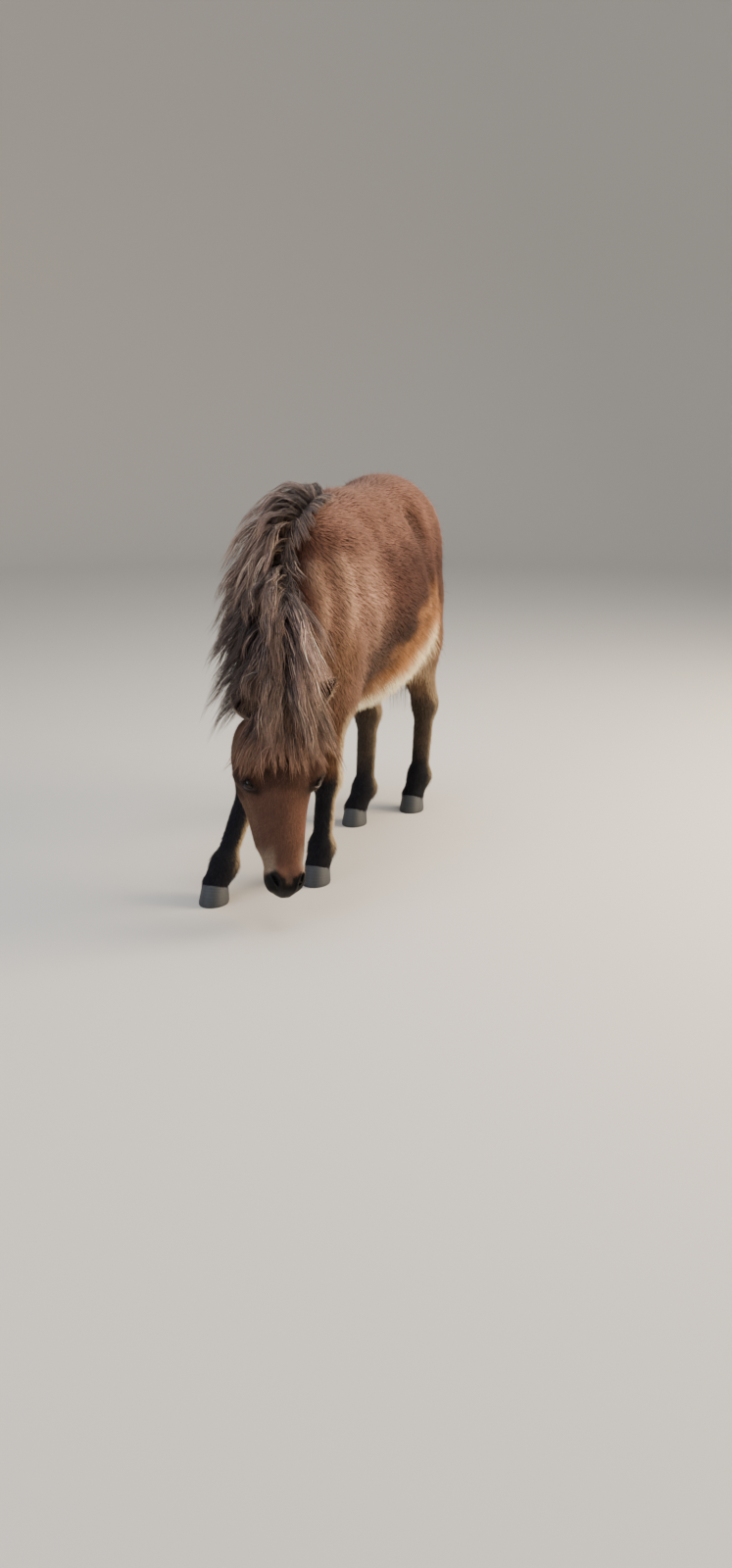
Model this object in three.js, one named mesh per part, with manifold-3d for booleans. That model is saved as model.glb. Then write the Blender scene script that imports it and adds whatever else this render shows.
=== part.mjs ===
// A young Shetland pony, life size, grazing with its head turned a little to its left.
// Millimetres, +Z up. The pony faces -Y, its own left side is +X, and its four hooves stand flat on Z = 0.
// The flesh is one smooth field of muscles and bones, polygonised piece by piece and parted by plane cuts.
import * as THREE from "three";
import { mergeVertices } from "three/addons/utils/BufferGeometryUtils.js";
import Module from "manifold-3d";

const wasm = await Module();
wasm.setup();

const vec = (x, y, z) => new THREE.Vector3(x, y, z);
const radians = THREE.MathUtils.degToRad;
const flanks = { left: 1, right: -1 };

// Driving dimensions
const withersHeight = 893;
const barrelWidth = 412;
const barrelHeight = 496;
const barrelMiddle = 612;
const tailLength = 640;
const hoofHeight = 44;
const coronetSlope = radians(20);
const headYaw = radians(40);
const eyeRadius = 17;
const eyeSpread = 70;
const lidSize = { length: 16, height: 9.4, thickness: 3, slant: 1.2 };
const nostrilRadii = [7, 15, 12];
const mouthWidth = 120;
const mouthDepth = 5;
const earWidth = 50;
const earWall = 5;

// Numbers of locks, and their widths and thickness
const forelockCount = 11;
const tailCount = 18;
const maneLock = { width: 56, spread: 20, thickness: 12 };
const forelockLock = { width: 44, spread: 12, thickness: 10 };
const tailLock = { width: 46, spread: 16, thickness: 12 };

// Gaps between nodes and tolerances of the meshes
const cutGap = 0.4;
const pinchGap = 0.05;
const lockTolerance = 1.2;
const meshTolerance = 0.1;
const outOfReach = 1e4;

// The head hangs from the poll, turned to the pony's left and a little nose forward
const poll = vec(46, -545, 508);
const lips = vec(118, -678, 80);

function headAxes() {
  const down = lips.clone().sub(poll).normalize();
  const forward = vec(Math.sin(headYaw), -Math.cos(headYaw), 0);
  const left = vec(0, 0, 0).crossVectors(forward, down).normalize();
  const front = vec(0, 0, 0).crossVectors(down, left).normalize();
  return { left, front, down };
}
const head = headAxes();
const headFrame = new THREE.Matrix4().makeBasis(head.left, head.front, head.down).setPosition(poll);
const onHead = (left, front, down) => vec(left, front, down).applyMatrix4(headFrame);

// Joints of the legs, hoof centres on the ground
const legJoints = {
  foreleg_left: {
    side: 1, top: vec(60, -290, 440), knee: vec(62, -320, 255), fetlock: vec(53, -338, 86),
    hoof: vec(48, -364, 0),
  },
  foreleg_right: {
    side: -1, top: vec(-64, -310, 440), knee: vec(-86, -424, 262), fetlock: vec(-116, -524, 84),
    hoof: vec(-128, -560, 0),
  },
  hindleg_left: {
    side: 1, top: vec(96, 240, 500), hock: vec(112, 318, 305), fetlock: vec(107, 290, 100),
    hoof: vec(94, 260, 0),
  },
  hindleg_right: {
    side: -1, top: vec(-70, 165, 500), hock: vec(-4, 160, 305), fetlock: vec(-2, 126, 98),
    hoof: vec(-19, 89, 0),
  },
};

// Distance fields of single forms, in millimetres, negative inside
function muscle(center, radii, turns = [0, 0, 0], blend = 50, frame = null) {
  const rotation = new THREE.Quaternion().setFromEuler(new THREE.Euler(...turns.map(radians)));
  const matrix = new THREE.Matrix4().compose(center, rotation, vec(1, 1, 1));
  if (frame) matrix.premultiply(frame);
  const inverse = matrix.invert();
  const [a, b, c] = radii;
  const q = vec(0, 0, 0);
  const distance = (p) => {
    q.copy(p).applyMatrix4(inverse);
    const k0 = Math.hypot(q.x / a, q.y / b, q.z / c);
    const k1 = Math.hypot(q.x / (a * a), q.y / (b * b), q.z / (c * c));
    return k1 > 0 ? (k0 * (k0 - 1)) / k1 : -Math.min(a, b, c);
  };
  return { distance, blend };
}

function bone(start, startRadius, end, endRadius, blend = 35, frame = null, across = null, narrow = 1) {
  const a = frame ? start.clone().applyMatrix4(frame) : start;
  const b = frame ? end.clone().applyMatrix4(frame) : end;
  const axis = b.clone().sub(a);
  const l2 = axis.lengthSq();
  const rr = startRadius - endRadius;
  const a2 = l2 - rr * rr;
  const q = vec(0, 0, 0);
  const distance = (p) => {
    q.copy(p).sub(a);
    if (across) q.addScaledVector(across, (1 / narrow - 1) * q.dot(across));
    const y = q.dot(axis);
    const z = y - l2;
    const x2 = q.multiplyScalar(l2).addScaledVector(axis, -y).lengthSq();
    const y2 = y * y * l2;
    const z2 = z * z * l2;
    const k = Math.sign(rr) * rr * rr * x2;
    if (Math.sign(z) * a2 * z2 > k) return Math.sqrt(x2 + z2) / l2 - endRadius;
    if (Math.sign(y) * a2 * y2 < k) return Math.sqrt(x2 + y2) / l2 - startRadius;
    return (Math.sqrt((x2 * a2) / l2) + y * rr) / l2 - startRadius;
  };
  return { distance, blend };
}

function blended(a, b, k) {
  const h = Math.max(k - Math.abs(a - b), 0) / k;
  return Math.min(a, b) - h * h * k * 0.25;
}

// Torso: barrel, chest, withers, back, croup and the muscles of shoulder and haunch
function torsoForms() {
  const half = barrelWidth / 2;
  const forms = [
    muscle(vec(0, -10, barrelMiddle), [half, 290, barrelHeight / 2], [0, 0, 0], 60),
    muscle(vec(0, 135, 640), [half * 0.88, 200, 222], [6, 0, 0], 80),
    muscle(vec(0, -200, 625), [142, 180, 232], [0, 0, 0], 80),
    bone(vec(0, -275, withersHeight - 93), 66, vec(0, -90, withersHeight - 69), 70, 70),
    bone(vec(0, -90, 820), 84, vec(0, 160, 824), 102, 70),
    muscle(vec(0, 265, 757), [152, 172, 184], [0, 0, 0], 70),
    bone(vec(0, 330, 804), 94, vec(0, 405, 772), 65, 60),
    muscle(vec(0, -325, 560), [92, 78, 130], [0, 0, 0], 60),
  ];
  for (const s of [1, -1]) {
    forms.push(
      muscle(vec(s * 84, -255, 640), [60, 105, 190], [-12, 0, 0], 60),
      muscle(vec(s * 66, -285, 500), [48, 80, 105], [0, 0, 0], 50),
      muscle(vec(s * 70, 310, 655), [79, 122, 196], [-8, 0, 0], 60),
      muscle(vec(s * 72, 230, 560), [66, 110, 120], [0, 0, 0], 60),
    );
  }
  return forms;
}

function neckForms() {
  const base = vec(0, -230, 715);
  const middle = vec(18, -370, 590);
  const end = vec(46, -480, 455);
  const acrossBase = vec(0.98, 0.1, 0).normalize();
  const acrossEnd = vec(0.9, 0.4, 0).normalize();
  return [
    bone(base, 152, middle, 116, 70, null, acrossBase, 0.6),
    bone(middle, 116, end, 82, 60, null, acrossEnd, 0.58),
  ];
}

function forelegForms({ side, top, knee, fetlock, hoof }) {
  const coronet = hoof.clone().add(vec(0, 10, hoofHeight));
  const shoulderPoint = vec(side * 70, -335, 560);
  return [
    bone(shoulderPoint, 72, top, 54, 50),
    bone(top, 52, knee, 32, 40),
    muscle(knee, [34, 34, 44], [0, 0, 0], 22),
    bone(knee, 28, fetlock, 25, 22),
    muscle(fetlock, [31, 34, 30], [0, 0, 0], 20),
    muscle(fetlock.clone().add(vec(0, 20, -12)), [22, 20, 24], [0, 0, 0], 18),
    bone(fetlock, 27, coronet, 31, 20),
  ];
}

function hindlegForms({ side, top, hock, fetlock, hoof }) {
  const coronet = hoof.clone().add(vec(0, 10, hoofHeight));
  const point = hock.clone().add(vec(0, 34, 34));
  const hip = vec(side * 66, top.y + 60, 600);
  return [
    bone(hip, 84, top, 74, 60),
    bone(top, 68, hock, 34, 50),
    muscle(hock, [34, 38, 46], [0, 0, 0], 22),
    bone(point, 19, hock, 26, 22),
    bone(point, 18, hock.clone().add(vec(side * 6, 40, 130)), 24, 26),
    bone(hock, 30, fetlock, 26, 22),
    muscle(fetlock, [32, 35, 31], [0, 0, 0], 20),
    muscle(fetlock.clone().add(vec(0, 20, -12)), [23, 21, 25], [0, 0, 0], 18),
    bone(fetlock, 28, coronet, 32, 20),
  ];
}

// Head, in its own frame: left, front (out of the face) and down from the poll towards the lips
function headForms() {
  const form = (center, radii, turns, blend) => muscle(vec(...center), radii, turns, blend, headFrame);
  const rod = (start, r0, end, r1, blend) => bone(vec(...start), r0, vec(...end), r1, blend, headFrame);
  const forms = [
    form([0, -56, 70], [54, 58, 84], [0, 0, 0], 36),
    form([0, -60, 120], [68, 58, 74], [0, 0, 0], 36),
    form([0, -50, 165], [78, 52, 90], [0, 0, 0], 40),
    rod([0, -52, 205], 67, [0, -48, 350], 49, 35),
    form([0, -50, 402], [38, 44, 46], [0, 0, 0], 24),
    form([0, -88, 412], [31, 24, 28], [0, 0, 0], 20),
    rod([0, -82, 250], 38, [0, -86, 380], 27, 30),
  ];
  for (const s of [1, -1]) {
    forms.push(
      form([s * 48, -112, 134], [40, 62, 88], [0, 0, 0], 36),
      form([s * (eyeSpread + 6), -42, 172], [30, 34, 34], [0, 0, 0], 26),
      rod([s * 42, -108, 205], 34, [s * 25, -86, 320], 24, 30),
      form([s * 24, -34, 400], [18, 26, 30], [0, 0, 0], 16),
    );
  }
  return forms;
}

const fleshForms = [
  ...torsoForms(),
  ...neckForms(),
  ...forelegForms(legJoints.foreleg_left),
  ...forelegForms(legJoints.foreleg_right),
  ...hindlegForms(legJoints.hindleg_left),
  ...hindlegForms(legJoints.hindleg_right),
  ...headForms(),
];

function flesh(p) {
  let d = outOfReach;
  for (const form of fleshForms) {
    const next = form.distance(p);
    if (next < d + form.blend) d = blended(d, next, form.blend);
  }
  return d;
}

// Turns a field into a closed triangle surface on a grid of its own frame, its points on the zero level
function polygonise(field, frame, low, high, step) {
  const n = [0, 1, 2].map((i) => Math.ceil((high[i] - low[i]) / step[i]) + 1);
  const at = (i, j, k) => (k * n[1] + j) * n[0] + i;
  const point = vec(0, 0, 0);
  const place = (x, y, z) => point.set(x, y, z).applyMatrix4(frame);
  const inside = (x, y, z) =>
    Math.max(low[0] + step[0] - x, x - high[0] + step[0], low[1] + step[1] - y, y - high[1] + step[1],
      low[2] + step[2] - z, z - high[2] + step[2]);
  const value = new Float64Array(n[0] * n[1] * n[2]);
  for (let k = 0; k < n[2]; k++)
    for (let j = 0; j < n[1]; j++)
      for (let i = 0; i < n[0]; i++) {
        const [x, y, z] = [low[0] + i * step[0], low[1] + j * step[1], low[2] + k * step[2]];
        value[at(i, j, k)] = Math.max(field(place(x, y, z)), inside(x, y, z)) || 1e-6;
      }
  const vertexOf = new Int32Array(value.length).fill(-1);
  const positions = [];
  const corners = [[0, 0, 0], [1, 0, 0], [0, 1, 0], [1, 1, 0], [0, 0, 1], [1, 0, 1], [0, 1, 1], [1, 1, 1]];
  for (let k = 0; k < n[2] - 1; k++)
    for (let j = 0; j < n[1] - 1; j++)
      for (let i = 0; i < n[0] - 1; i++) {
        const v = corners.map(([a, b, c]) => value[at(i + a, j + b, k + c)]);
        if (v.every((w) => w > 0) || v.every((w) => w < 0)) continue;
        const sum = [0, 0, 0];
        let count = 0;
        for (let a = 0; a < 8; a++)
          for (const bit of [1, 2, 4]) {
            const b = a | bit;
            if (b === a || v[a] * v[b] > 0) continue;
            const t = v[a] / (v[a] - v[b]);
            for (let m = 0; m < 3; m++) sum[m] += corners[a][m] + t * (corners[b][m] - corners[a][m]);
            count += 1;
          }
        vertexOf[at(i, j, k)] = positions.length / 3;
        const local = [i, j, k].map((c, m) => low[m] + (c + sum[m] / count) * step[m]);
        const edge = inside(...local);
        place(...local);
        if (edge < -0.6 * Math.max(...step)) settle(field, point, 0.45 * Math.min(...step));
        positions.push(point.x, point.y, point.z);
      }
  const index = [];
  const quad = (a, b, c, d, flip) => {
    const q = flip ? [a, b, c, d] : [d, c, b, a];
    const gap = (m, o) => Math.hypot(...[0, 1, 2].map((t) => positions[m * 3 + t] - positions[o * 3 + t]));
    if (gap(q[0], q[2]) < gap(q[1], q[3])) index.push(q[0], q[1], q[2], q[0], q[2], q[3]);
    else index.push(q[1], q[2], q[3], q[1], q[3], q[0]);
  };
  for (let k = 1; k < n[2] - 1; k++)
    for (let j = 1; j < n[1] - 1; j++)
      for (let i = 1; i < n[0] - 1; i++) {
        const v0 = value[at(i, j, k)];
        const cell = (a, b, c) => vertexOf[at(i - a, j - b, k - c)];
        const own = cell(0, 0, 0);
        const [x, y, z] = [cell(1, 0, 0), cell(0, 1, 0), cell(0, 0, 1)];
        if (v0 * value[at(i + 1, j, k)] < 0) quad(own, y, cell(0, 1, 1), z, v0 < 0);
        if (v0 * value[at(i, j + 1, k)] < 0) quad(own, z, cell(1, 0, 1), x, v0 < 0);
        if (v0 * value[at(i, j, k + 1)] < 0) quad(own, x, cell(1, 1, 0), y, v0 < 0);
      }
  const geometry = new THREE.BufferGeometry();
  geometry.setAttribute("position", new THREE.Float32BufferAttribute(positions, 3));
  geometry.setIndex(index);
  return geometry;
}

// Outward slope of a field at a point
function slope(field, p, reach = 1) {
  const q = p.clone();
  const g = vec(0, 0, 0);
  for (const axis of ["x", "y", "z"]) {
    q[axis] = p[axis] + reach;
    const ahead = field(q);
    q[axis] = p[axis] - reach;
    g[axis] = (ahead - field(q)) / (2 * reach);
    q[axis] = p[axis];
  }
  return g;
}

// Moves a point onto the zero level of a field, by no more than a given reach
function settle(field, p, reach) {
  const start = p.clone();
  for (let turn = 0; turn < 3; turn++) {
    const g = slope(field, p);
    const size = g.lengthSq();
    if (size < 1e-4) break;
    p.addScaledVector(g, -field(p) / size);
  }
  const moved = p.clone().sub(start);
  if (moved.length() > reach) p.copy(start).addScaledVector(moved.normalize(), reach);
}

// Boolean work
function solidOf(geometry) {
  const bare = geometry.clone();
  for (const name of Object.keys(bare.attributes)) if (name !== "position") bare.deleteAttribute(name);
  const merged = mergeVertices(bare, 1e-4);
  const vertProperties = Float32Array.from(merged.attributes.position.array);
  const triVerts = Uint32Array.from(merged.index.array);
  const solid = new wasm.Manifold(new wasm.Mesh({ numProp: 3, vertProperties, triVerts }));
  if (solid.volume() > 0) return solid;
  return new wasm.Manifold(new wasm.Mesh({ numProp: 3, vertProperties, triVerts: triVerts.reverse() }));
}

function geometryOf(solid) {
  const mesh = solid.getMesh();
  const geometry = new THREE.BufferGeometry();
  geometry.setAttribute("position", new THREE.Float32BufferAttribute(mesh.vertProperties, 3));
  geometry.setIndex(Array.from(mesh.triVerts));
  return unpinched(withoutSlivers(mergeVertices(geometry, 1e-3)));
}

// Drops the triangles of which two corners were merged into one
function withoutSlivers(geometry) {
  const index = geometry.index.array;
  const kept = [];
  for (let f = 0; f < index.length; f += 3) {
    const corners = [index[f], index[f + 1], index[f + 2]];
    if (new Set(corners).size === 3) kept.push(...corners);
  }
  geometry.setIndex(kept);
  return geometry;
}

// Where a closed surface touches itself along an edge or at a point, its sheets are drawn a little apart
function unpinched(geometry) {
  const index = Array.from(geometry.index.array);
  const positions = Array.from(geometry.attributes.position.array);
  const edgeOf = (a, b) => (a < b ? `${a},${b}` : `${b},${a}`);
  const edgeFaces = new Map();
  const facesAt = new Map();
  const listed = (map, key) => map.get(key) || map.set(key, []).get(key);
  const at = (v) => vec(...positions.slice(3 * v, 3 * v + 3));
  for (let f = 0; f < index.length / 3; f++)
    for (let m = 0; m < 3; m++) {
      listed(edgeFaces, edgeOf(index[3 * f + m], index[3 * f + ((m + 1) % 3)])).push(f);
      listed(facesAt, index[3 * f + m]).push(f);
    }
  const original = index.slice();
  for (const [v, faces] of facesAt) {
    const fans = [];
    const free = new Set(faces);
    while (free.size > 0) {
      const fan = [free.values().next().value];
      free.delete(fan[0]);
      for (const f of fan)
        for (let m = 0; m < 3; m++) {
          const w = original[3 * f + m];
          const pair = w === v ? [] : edgeFaces.get(edgeOf(v, w));
          if (pair.length !== 2) continue;
          for (const g of pair) if (free.delete(g)) fan.push(g);
        }
      fans.push(fan);
    }
    if (fans.length < 2) continue;
    for (const fan of fans) {
      const around = vec(0, 0, 0);
      for (const f of fan)
        for (let m = 0; m < 3; m++) around.add(at(original[3 * f + m]));
      const own = at(v);
      const step = around.divideScalar(3 * fan.length).sub(own).setLength(pinchGap);
      for (const f of fan)
        for (let m = 0; m < 3; m++) if (original[3 * f + m] === v) index[3 * f + m] = positions.length / 3;
      positions.push(...own.add(step).toArray());
    }
  }
  const mended = new THREE.BufferGeometry();
  mended.setAttribute("position", new THREE.Float32BufferAttribute(positions, 3));
  mended.setIndex(index);
  return mended;
}

function largest(solid) {
  return solid.decompose().sort((a, b) => b.volume() - a.volume())[0];
}

// The part of a solid on the side of a plane that its normal points to, less a margin
function beyond(solid, point, normal, margin = 0) {
  return solid.trimByPlane([normal.x, normal.y, normal.z], point.dot(normal) + margin);
}

function block(low, high) {
  const size = [0, 1, 2].map((i) => high[i] - low[i]);
  const geometry = new THREE.BoxGeometry(...size);
  geometry.translate(...[0, 1, 2].map((i) => (high[i] + low[i]) / 2));
  return solidOf(geometry);
}

// A closed skin over rings with the same number of points, with flat end caps
function loft(rings) {
  const around = rings[0].length;
  const positions = rings.flat().flatMap((p) => [p.x, p.y, p.z]);
  const index = [];
  for (let r = 0; r < rings.length - 1; r++)
    for (let s = 0; s < around; s++) {
      const a = r * around + s;
      const b = r * around + ((s + 1) % around);
      index.push(a, b, b + around, a, b + around, a + around);
    }
  const last = (rings.length - 1) * around;
  for (let s = 0; s < around / 2 - 1; s++) {
    const [a, b, c, d] = [s, s + 1, around - 2 - s, around - 1 - s];
    index.push(a, c, b, a, d, c, last + a, last + b, last + c, last + a, last + c, last + d);
  }
  const geometry = new THREE.BufferGeometry();
  geometry.setAttribute("position", new THREE.Float32BufferAttribute(positions, 3));
  geometry.setIndex(index);
  return geometry;
}

// The same surface moved outwards along the slope of the field
function grown(geometry, field, amount) {
  const moved = geometry.clone();
  const place = moved.attributes.position;
  const p = vec(0, 0, 0);
  for (let i = 0; i < place.count; i++) {
    p.fromBufferAttribute(place, i);
    p.addScaledVector(slope(field, p).normalize(), amount);
    place.setXYZ(i, p.x, p.y, p.z);
  }
  return moved;
}

// Seeded random numbers between 0 and 1
function seeded(seed) {
  let state = seed;
  return () => {
    state = (state + 0x6d2b79f5) | 0;
    let t = Math.imul(state ^ (state >>> 15), 1 | state);
    t = (t + Math.imul(t ^ (t >>> 7), 61 | t)) ^ t;
    return ((t ^ (t >>> 14)) >>> 0) / 4294967296;
  };
}

// The way a lock takes: it leaves its root along "out", turns to "lie" and stays "clearance" off the flesh
function lockPath(root, out, lie, length, steps, clearance, turnRate = 0.5) {
  const normal = slope(flesh, root).normalize();
  const points = [root.clone().addScaledVector(normal, -9)];
  const heading = out.clone().normalize();
  const p = root.clone().addScaledVector(normal, 2);
  for (let i = 1; i <= steps; i++) {
    heading.lerp(lie, turnRate).normalize();
    p.addScaledVector(heading, length / steps);
    const room = clearance * Math.min(1, (i + 0.6) / 2.2);
    for (let turn = 0; turn < 3; turn++) {
      const d = flesh(p);
      if (d < room) p.addScaledVector(slope(flesh, p).normalize(), room - d);
    }
    points.push(p.clone());
  }
  return points;
}

// The same way with a slow sideways swing
function swayed(points, random, size) {
  const start = points[0];
  const along = points[points.length - 1].clone().sub(start).normalize();
  const side = vec(0, 0, 0).crossVectors(along, slope(flesh, points[1]).normalize()).normalize();
  const phase = 2 * Math.PI * random();
  return points.map((p, i) => {
    const t = i / (points.length - 1);
    return p.clone().addScaledVector(side, size * t * Math.sin(phase + 4.2 * t));
  });
}

// A flat, tapered lock with four sides, rounded off at its root
function lockSolid(points, width, thickness) {
  const last = points.length - 1;
  const rings = points.map((p, i) => {
    const ahead = points[Math.min(i + 1, last)].clone().sub(points[Math.max(i - 1, 0)]).normalize();
    const away = slope(flesh, p, 4).normalize();
    const across = vec(0, 0, 0).crossVectors(ahead, away).normalize();
    const lift = vec(0, 0, 0).crossVectors(across, ahead).normalize();
    const t = i / last;
    const taper = Math.max(0.06, Math.min(0.5 + 1.2 * t, 1.5 * (1 - t) ** 0.75));
    const w = (width * taper) / 2;
    const h = (thickness * (0.4 + 0.6 * taper)) / 2;
    const at = (a, b) => p.clone().addScaledVector(across, a * w).addScaledVector(lift, b * h);
    return [at(1, 0), at(0, 1), at(-1, 0), at(0, -1)];
  });
  return solidOf(loft(rings));
}

// One union of a node's core with all its locks
function joined(core, pieces) {
  return largest(wasm.Manifold.union([core, ...pieces]));
}

// Where the nodes part
const identity = new THREE.Matrix4();
const neckBase = { point: vec(0, -312, 800), normal: vec(0.06, -0.96, 0.27).normalize() };
const throat = { point: vec(50, -505, 470), normal: vec(0.2, -0.62, -0.75).normalize() };
const foreTop = 372;
const hindTop = 402;
const foreBlocks = {
  left: [[4, -460, -20], [190, -180, foreTop]],
  right: [[-260, -700, -20], [-4, -180, foreTop]],
};
const hindBlocks = {
  left: [[34, 150, -20], [230, 480, hindTop]],
  right: [[-200, -20, -20], [34.2, 480, hindTop - 20]],
};

// A block of the flesh as a surface, and the room it takes with the gap around it
const shells = {
  torso: polygonise(flesh, identity, [-296, -470, 318], [324, 530, 990], [38, 42, 39]),
  neck: polygonise(flesh, identity, [-170, -660, 340], [210, -190, 940], [31, 31, 31]),
  head: polygonise(flesh, headFrame, [-125, -235, -60], [125, 45, 462], [16, 16.5, 18.5]),
};
const roomOf = (shell) => solidOf(grown(shell, flesh, cutGap + 0.1));
const towardsTorso = neckBase.normal.clone().negate();
const towardsNeck = throat.normal.clone().negate();
const rooms = {
  torso: beyond(roomOf(shells.torso), neckBase.point, towardsTorso),
  neck: beyond(beyond(roomOf(shells.neck), neckBase.point, neckBase.normal), throat.point, towardsNeck),
  head: beyond(roomOf(shells.head), throat.point, throat.normal),
};

function torsoSolid() {
  let solid = beyond(solidOf(shells.torso), neckBase.point, towardsTorso, cutGap);
  for (const corners of [foreBlocks.left, foreBlocks.right, hindBlocks.left, hindBlocks.right])
    solid = solid.subtract(block(corners[0], corners[1]));
  return largest(solid);
}

function neckSolid() {
  let core = beyond(solidOf(shells.neck), neckBase.point, neckBase.normal);
  core = largest(beyond(core, throat.point, towardsNeck, cutGap));
  let solid = joined(core, [maneCore(), ...manePieces()]).simplify(lockTolerance);
  const ears = Object.keys(flanks).map((flank) => earSolid(flank, cutGap));
  for (const room of [rooms.torso, rooms.head, forelockRoom(cutGap), ...ears]) solid = solid.subtract(room);
  return largest(solid);
}

// Places on the head
const eyeCenter = (s) => onHead(s * eyeSpread, -26, 196);
const eyeOut = (s) => onHead(s * (eyeSpread + 8.2), -20.2, 196.6).sub(eyeCenter(s)).normalize();
const earRoots = { left: [54, -8, 46], right: [-42, -36, 48] };
const earTips = { left: [122, 4, -26], right: [-97, -49, 2] };
// Share of an ear's length and of its width, from the root to the tip
const earOutline = [
  [-0.2, 0.7], [0.05, 0.86], [0.28, 1], [0.5, 0.97], [0.7, 0.76], [0.86, 0.46], [0.96, 0.22], [1, 0.1],
];

function ball(center, radius, detail) {
  const geometry = new THREE.SphereGeometry(radius, detail, Math.round(detail * 0.6));
  geometry.translate(center.x, center.y, center.z);
  return solidOf(geometry);
}

// An almond-shaped plug along the eye's line of sight, which opens the lids
function lidOpening(s) {
  const out = eyeOut(s);
  const lidLine = head.down.clone().addScaledVector(head.front, lidSize.slant).normalize();
  const across = vec(0, 0, 0).crossVectors(out, lidLine).normalize();
  const run = vec(0, 0, 0).crossVectors(across, out).normalize();
  const rings = [4, 40].map((depth) => {
    const ring = [];
    for (let k = 0; k < 12; k++) {
      const angle = (2 * Math.PI * k) / 12;
      const a = lidSize.length * Math.cos(angle);
      const b = lidSize.height * Math.sin(angle) * (1 - 0.25 * Math.abs(Math.cos(angle)));
      const p = eyeCenter(s).addScaledVector(out, depth);
      ring.push(p.addScaledVector(run, a).addScaledVector(across, b));
    }
    return ring;
  });
  return solidOf(loft(rings));
}

// A slanted teardrop hollow for a nostril
function nostrilHollow(s) {
  const geometry = new THREE.SphereGeometry(1, 10, 6);
  geometry.scale(...nostrilRadii);
  geometry.rotateZ(radians(s * -28));
  geometry.rotateX(radians(28));
  geometry.applyMatrix4(new THREE.Matrix4().makeTranslation(s * 25, -16, 410));
  geometry.applyMatrix4(headFrame);
  return solidOf(geometry);
}

// The slit between the lips, cut only a few millimetres deep
function mouthSlit(core) {
  const geometry = new THREE.BoxGeometry(mouthWidth, 2.2, 125);
  geometry.rotateX(radians(16));
  geometry.translate(0, -78, 408);
  geometry.applyMatrix4(headFrame);
  return solidOf(geometry).subtract(core);
}

// An ear: a curled leaf whose cup opens to the front and a little outwards
function earSolid(flank, swell) {
  const s = flanks[flank];
  const root = onHead(...earRoots[flank]);
  const tip = onHead(...earTips[flank]);
  const axis = tip.clone().sub(root).normalize();
  const open = head.front.clone().addScaledVector(head.left, s * 0.25);
  open.addScaledVector(axis, -open.dot(axis)).normalize();
  const across = vec(0, 0, 0).crossVectors(axis, open).normalize();
  const reach = root.distanceTo(tip);
  const rings = earOutline.map(([t, w]) => {
    const curl = radians(THREE.MathUtils.lerp(118, 92, Math.max(0, t)));
    const half = (earWidth / 2) * w;
    const center = root.clone().addScaledVector(axis, t * reach);
    center.addScaledVector(open, -10 * Math.sin(Math.PI * Math.max(0, t)) + 6 * t * t);
    const point = (angle, grow) => {
      const x = (half + grow) * Math.sin(angle);
      const y = -(half * 0.8 + grow) * Math.cos(angle);
      return center.clone().addScaledVector(across, x).addScaledVector(open, y);
    };
    const wall = Math.min(earWall, half * 0.7);
    const outer = [];
    const inner = [];
    for (let k = 0; k <= 6; k++) {
      const angle = curl * (k / 3 - 1);
      outer.push(point(angle, swell));
      inner.unshift(point(angle * 0.96, -wall - swell));
    }
    return [...outer, ...inner];
  });
  return solidOf(loft(rings));
}

// The block over the forehead that the forelock fills, and the mane keeps out of
function forelockRoom(margin) {
  const corners = [[-95, -18, 14], [95, 120, 260]];
  const box = block(corners[0].map((c) => c - margin), corners[1].map((c) => c + margin));
  return box.transform(headFrame.elements);
}

function headSolid() {
  let solid = solidOf(shells.head);
  const core = solidOf(grown(shells.head, flesh, -mouthDepth));
  for (const s of [1, -1]) {
    const lids = ball(eyeCenter(s), eyeRadius + lidSize.thickness, 12);
    solid = solid.add(lids).subtract(ball(eyeCenter(s), eyeRadius + cutGap, 12));
    solid = solid.subtract(lidOpening(s)).subtract(nostrilHollow(s));
  }
  solid = largest(beyond(solid.subtract(mouthSlit(core)), throat.point, throat.normal));
  const forelock = wasm.Manifold.union(forelockPieces()).simplify(lockTolerance).intersect(forelockRoom(0));
  solid = joined(solid, [forelock]).subtract(rooms.neck);
  for (const flank of Object.keys(flanks)) solid = solid.subtract(earSolid(flank, cutGap));
  return largest(solid);
}

function legSolid(name) {
  const joints = legJoints[name];
  const side = joints.side > 0 ? "left" : "right";
  const fore = name.startsWith("fore");
  const corners = (fore ? foreBlocks : hindBlocks)[side];
  const top = corners[1][2];
  const xs = [joints.top.x, joints.fetlock.x];
  const knee = joints.knee || joints.hock;
  const low = [Math.min(...xs) - 110, Math.min(joints.hoof.y, knee.y) - 90, -4];
  const high = [Math.max(...xs) + 110, Math.max(joints.top.y, knee.y) + 110, top + 60];
  let solid = solidOf(polygonise(flesh, identity, low, high, [16, 16, 28]));
  solid = solid.intersect(block(corners[0].map((c) => c + cutGap), corners[1].map((c) => c - cutGap)));
  solid = beyond(solid, joints.hoof.clone().add(vec(0, 0, hoofHeight)), coronetNormal, cutGap);
  return largest(solid);
}

// Crest of the neck from the withers to the poll, laid on the flesh
const crestLine = new THREE.CatmullRomCurve3([
  vec(8, -200, withersHeight), vec(8, -285, 876), vec(-14, -360, 812), vec(-2, -410, 735),
  vec(20, -467, 662), vec(34, -512, 588), vec(40, -535, 540),
]);

function onFlesh(guess) {
  const p = guess.clone();
  settle(flesh, p, 80);
  return p;
}

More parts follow.
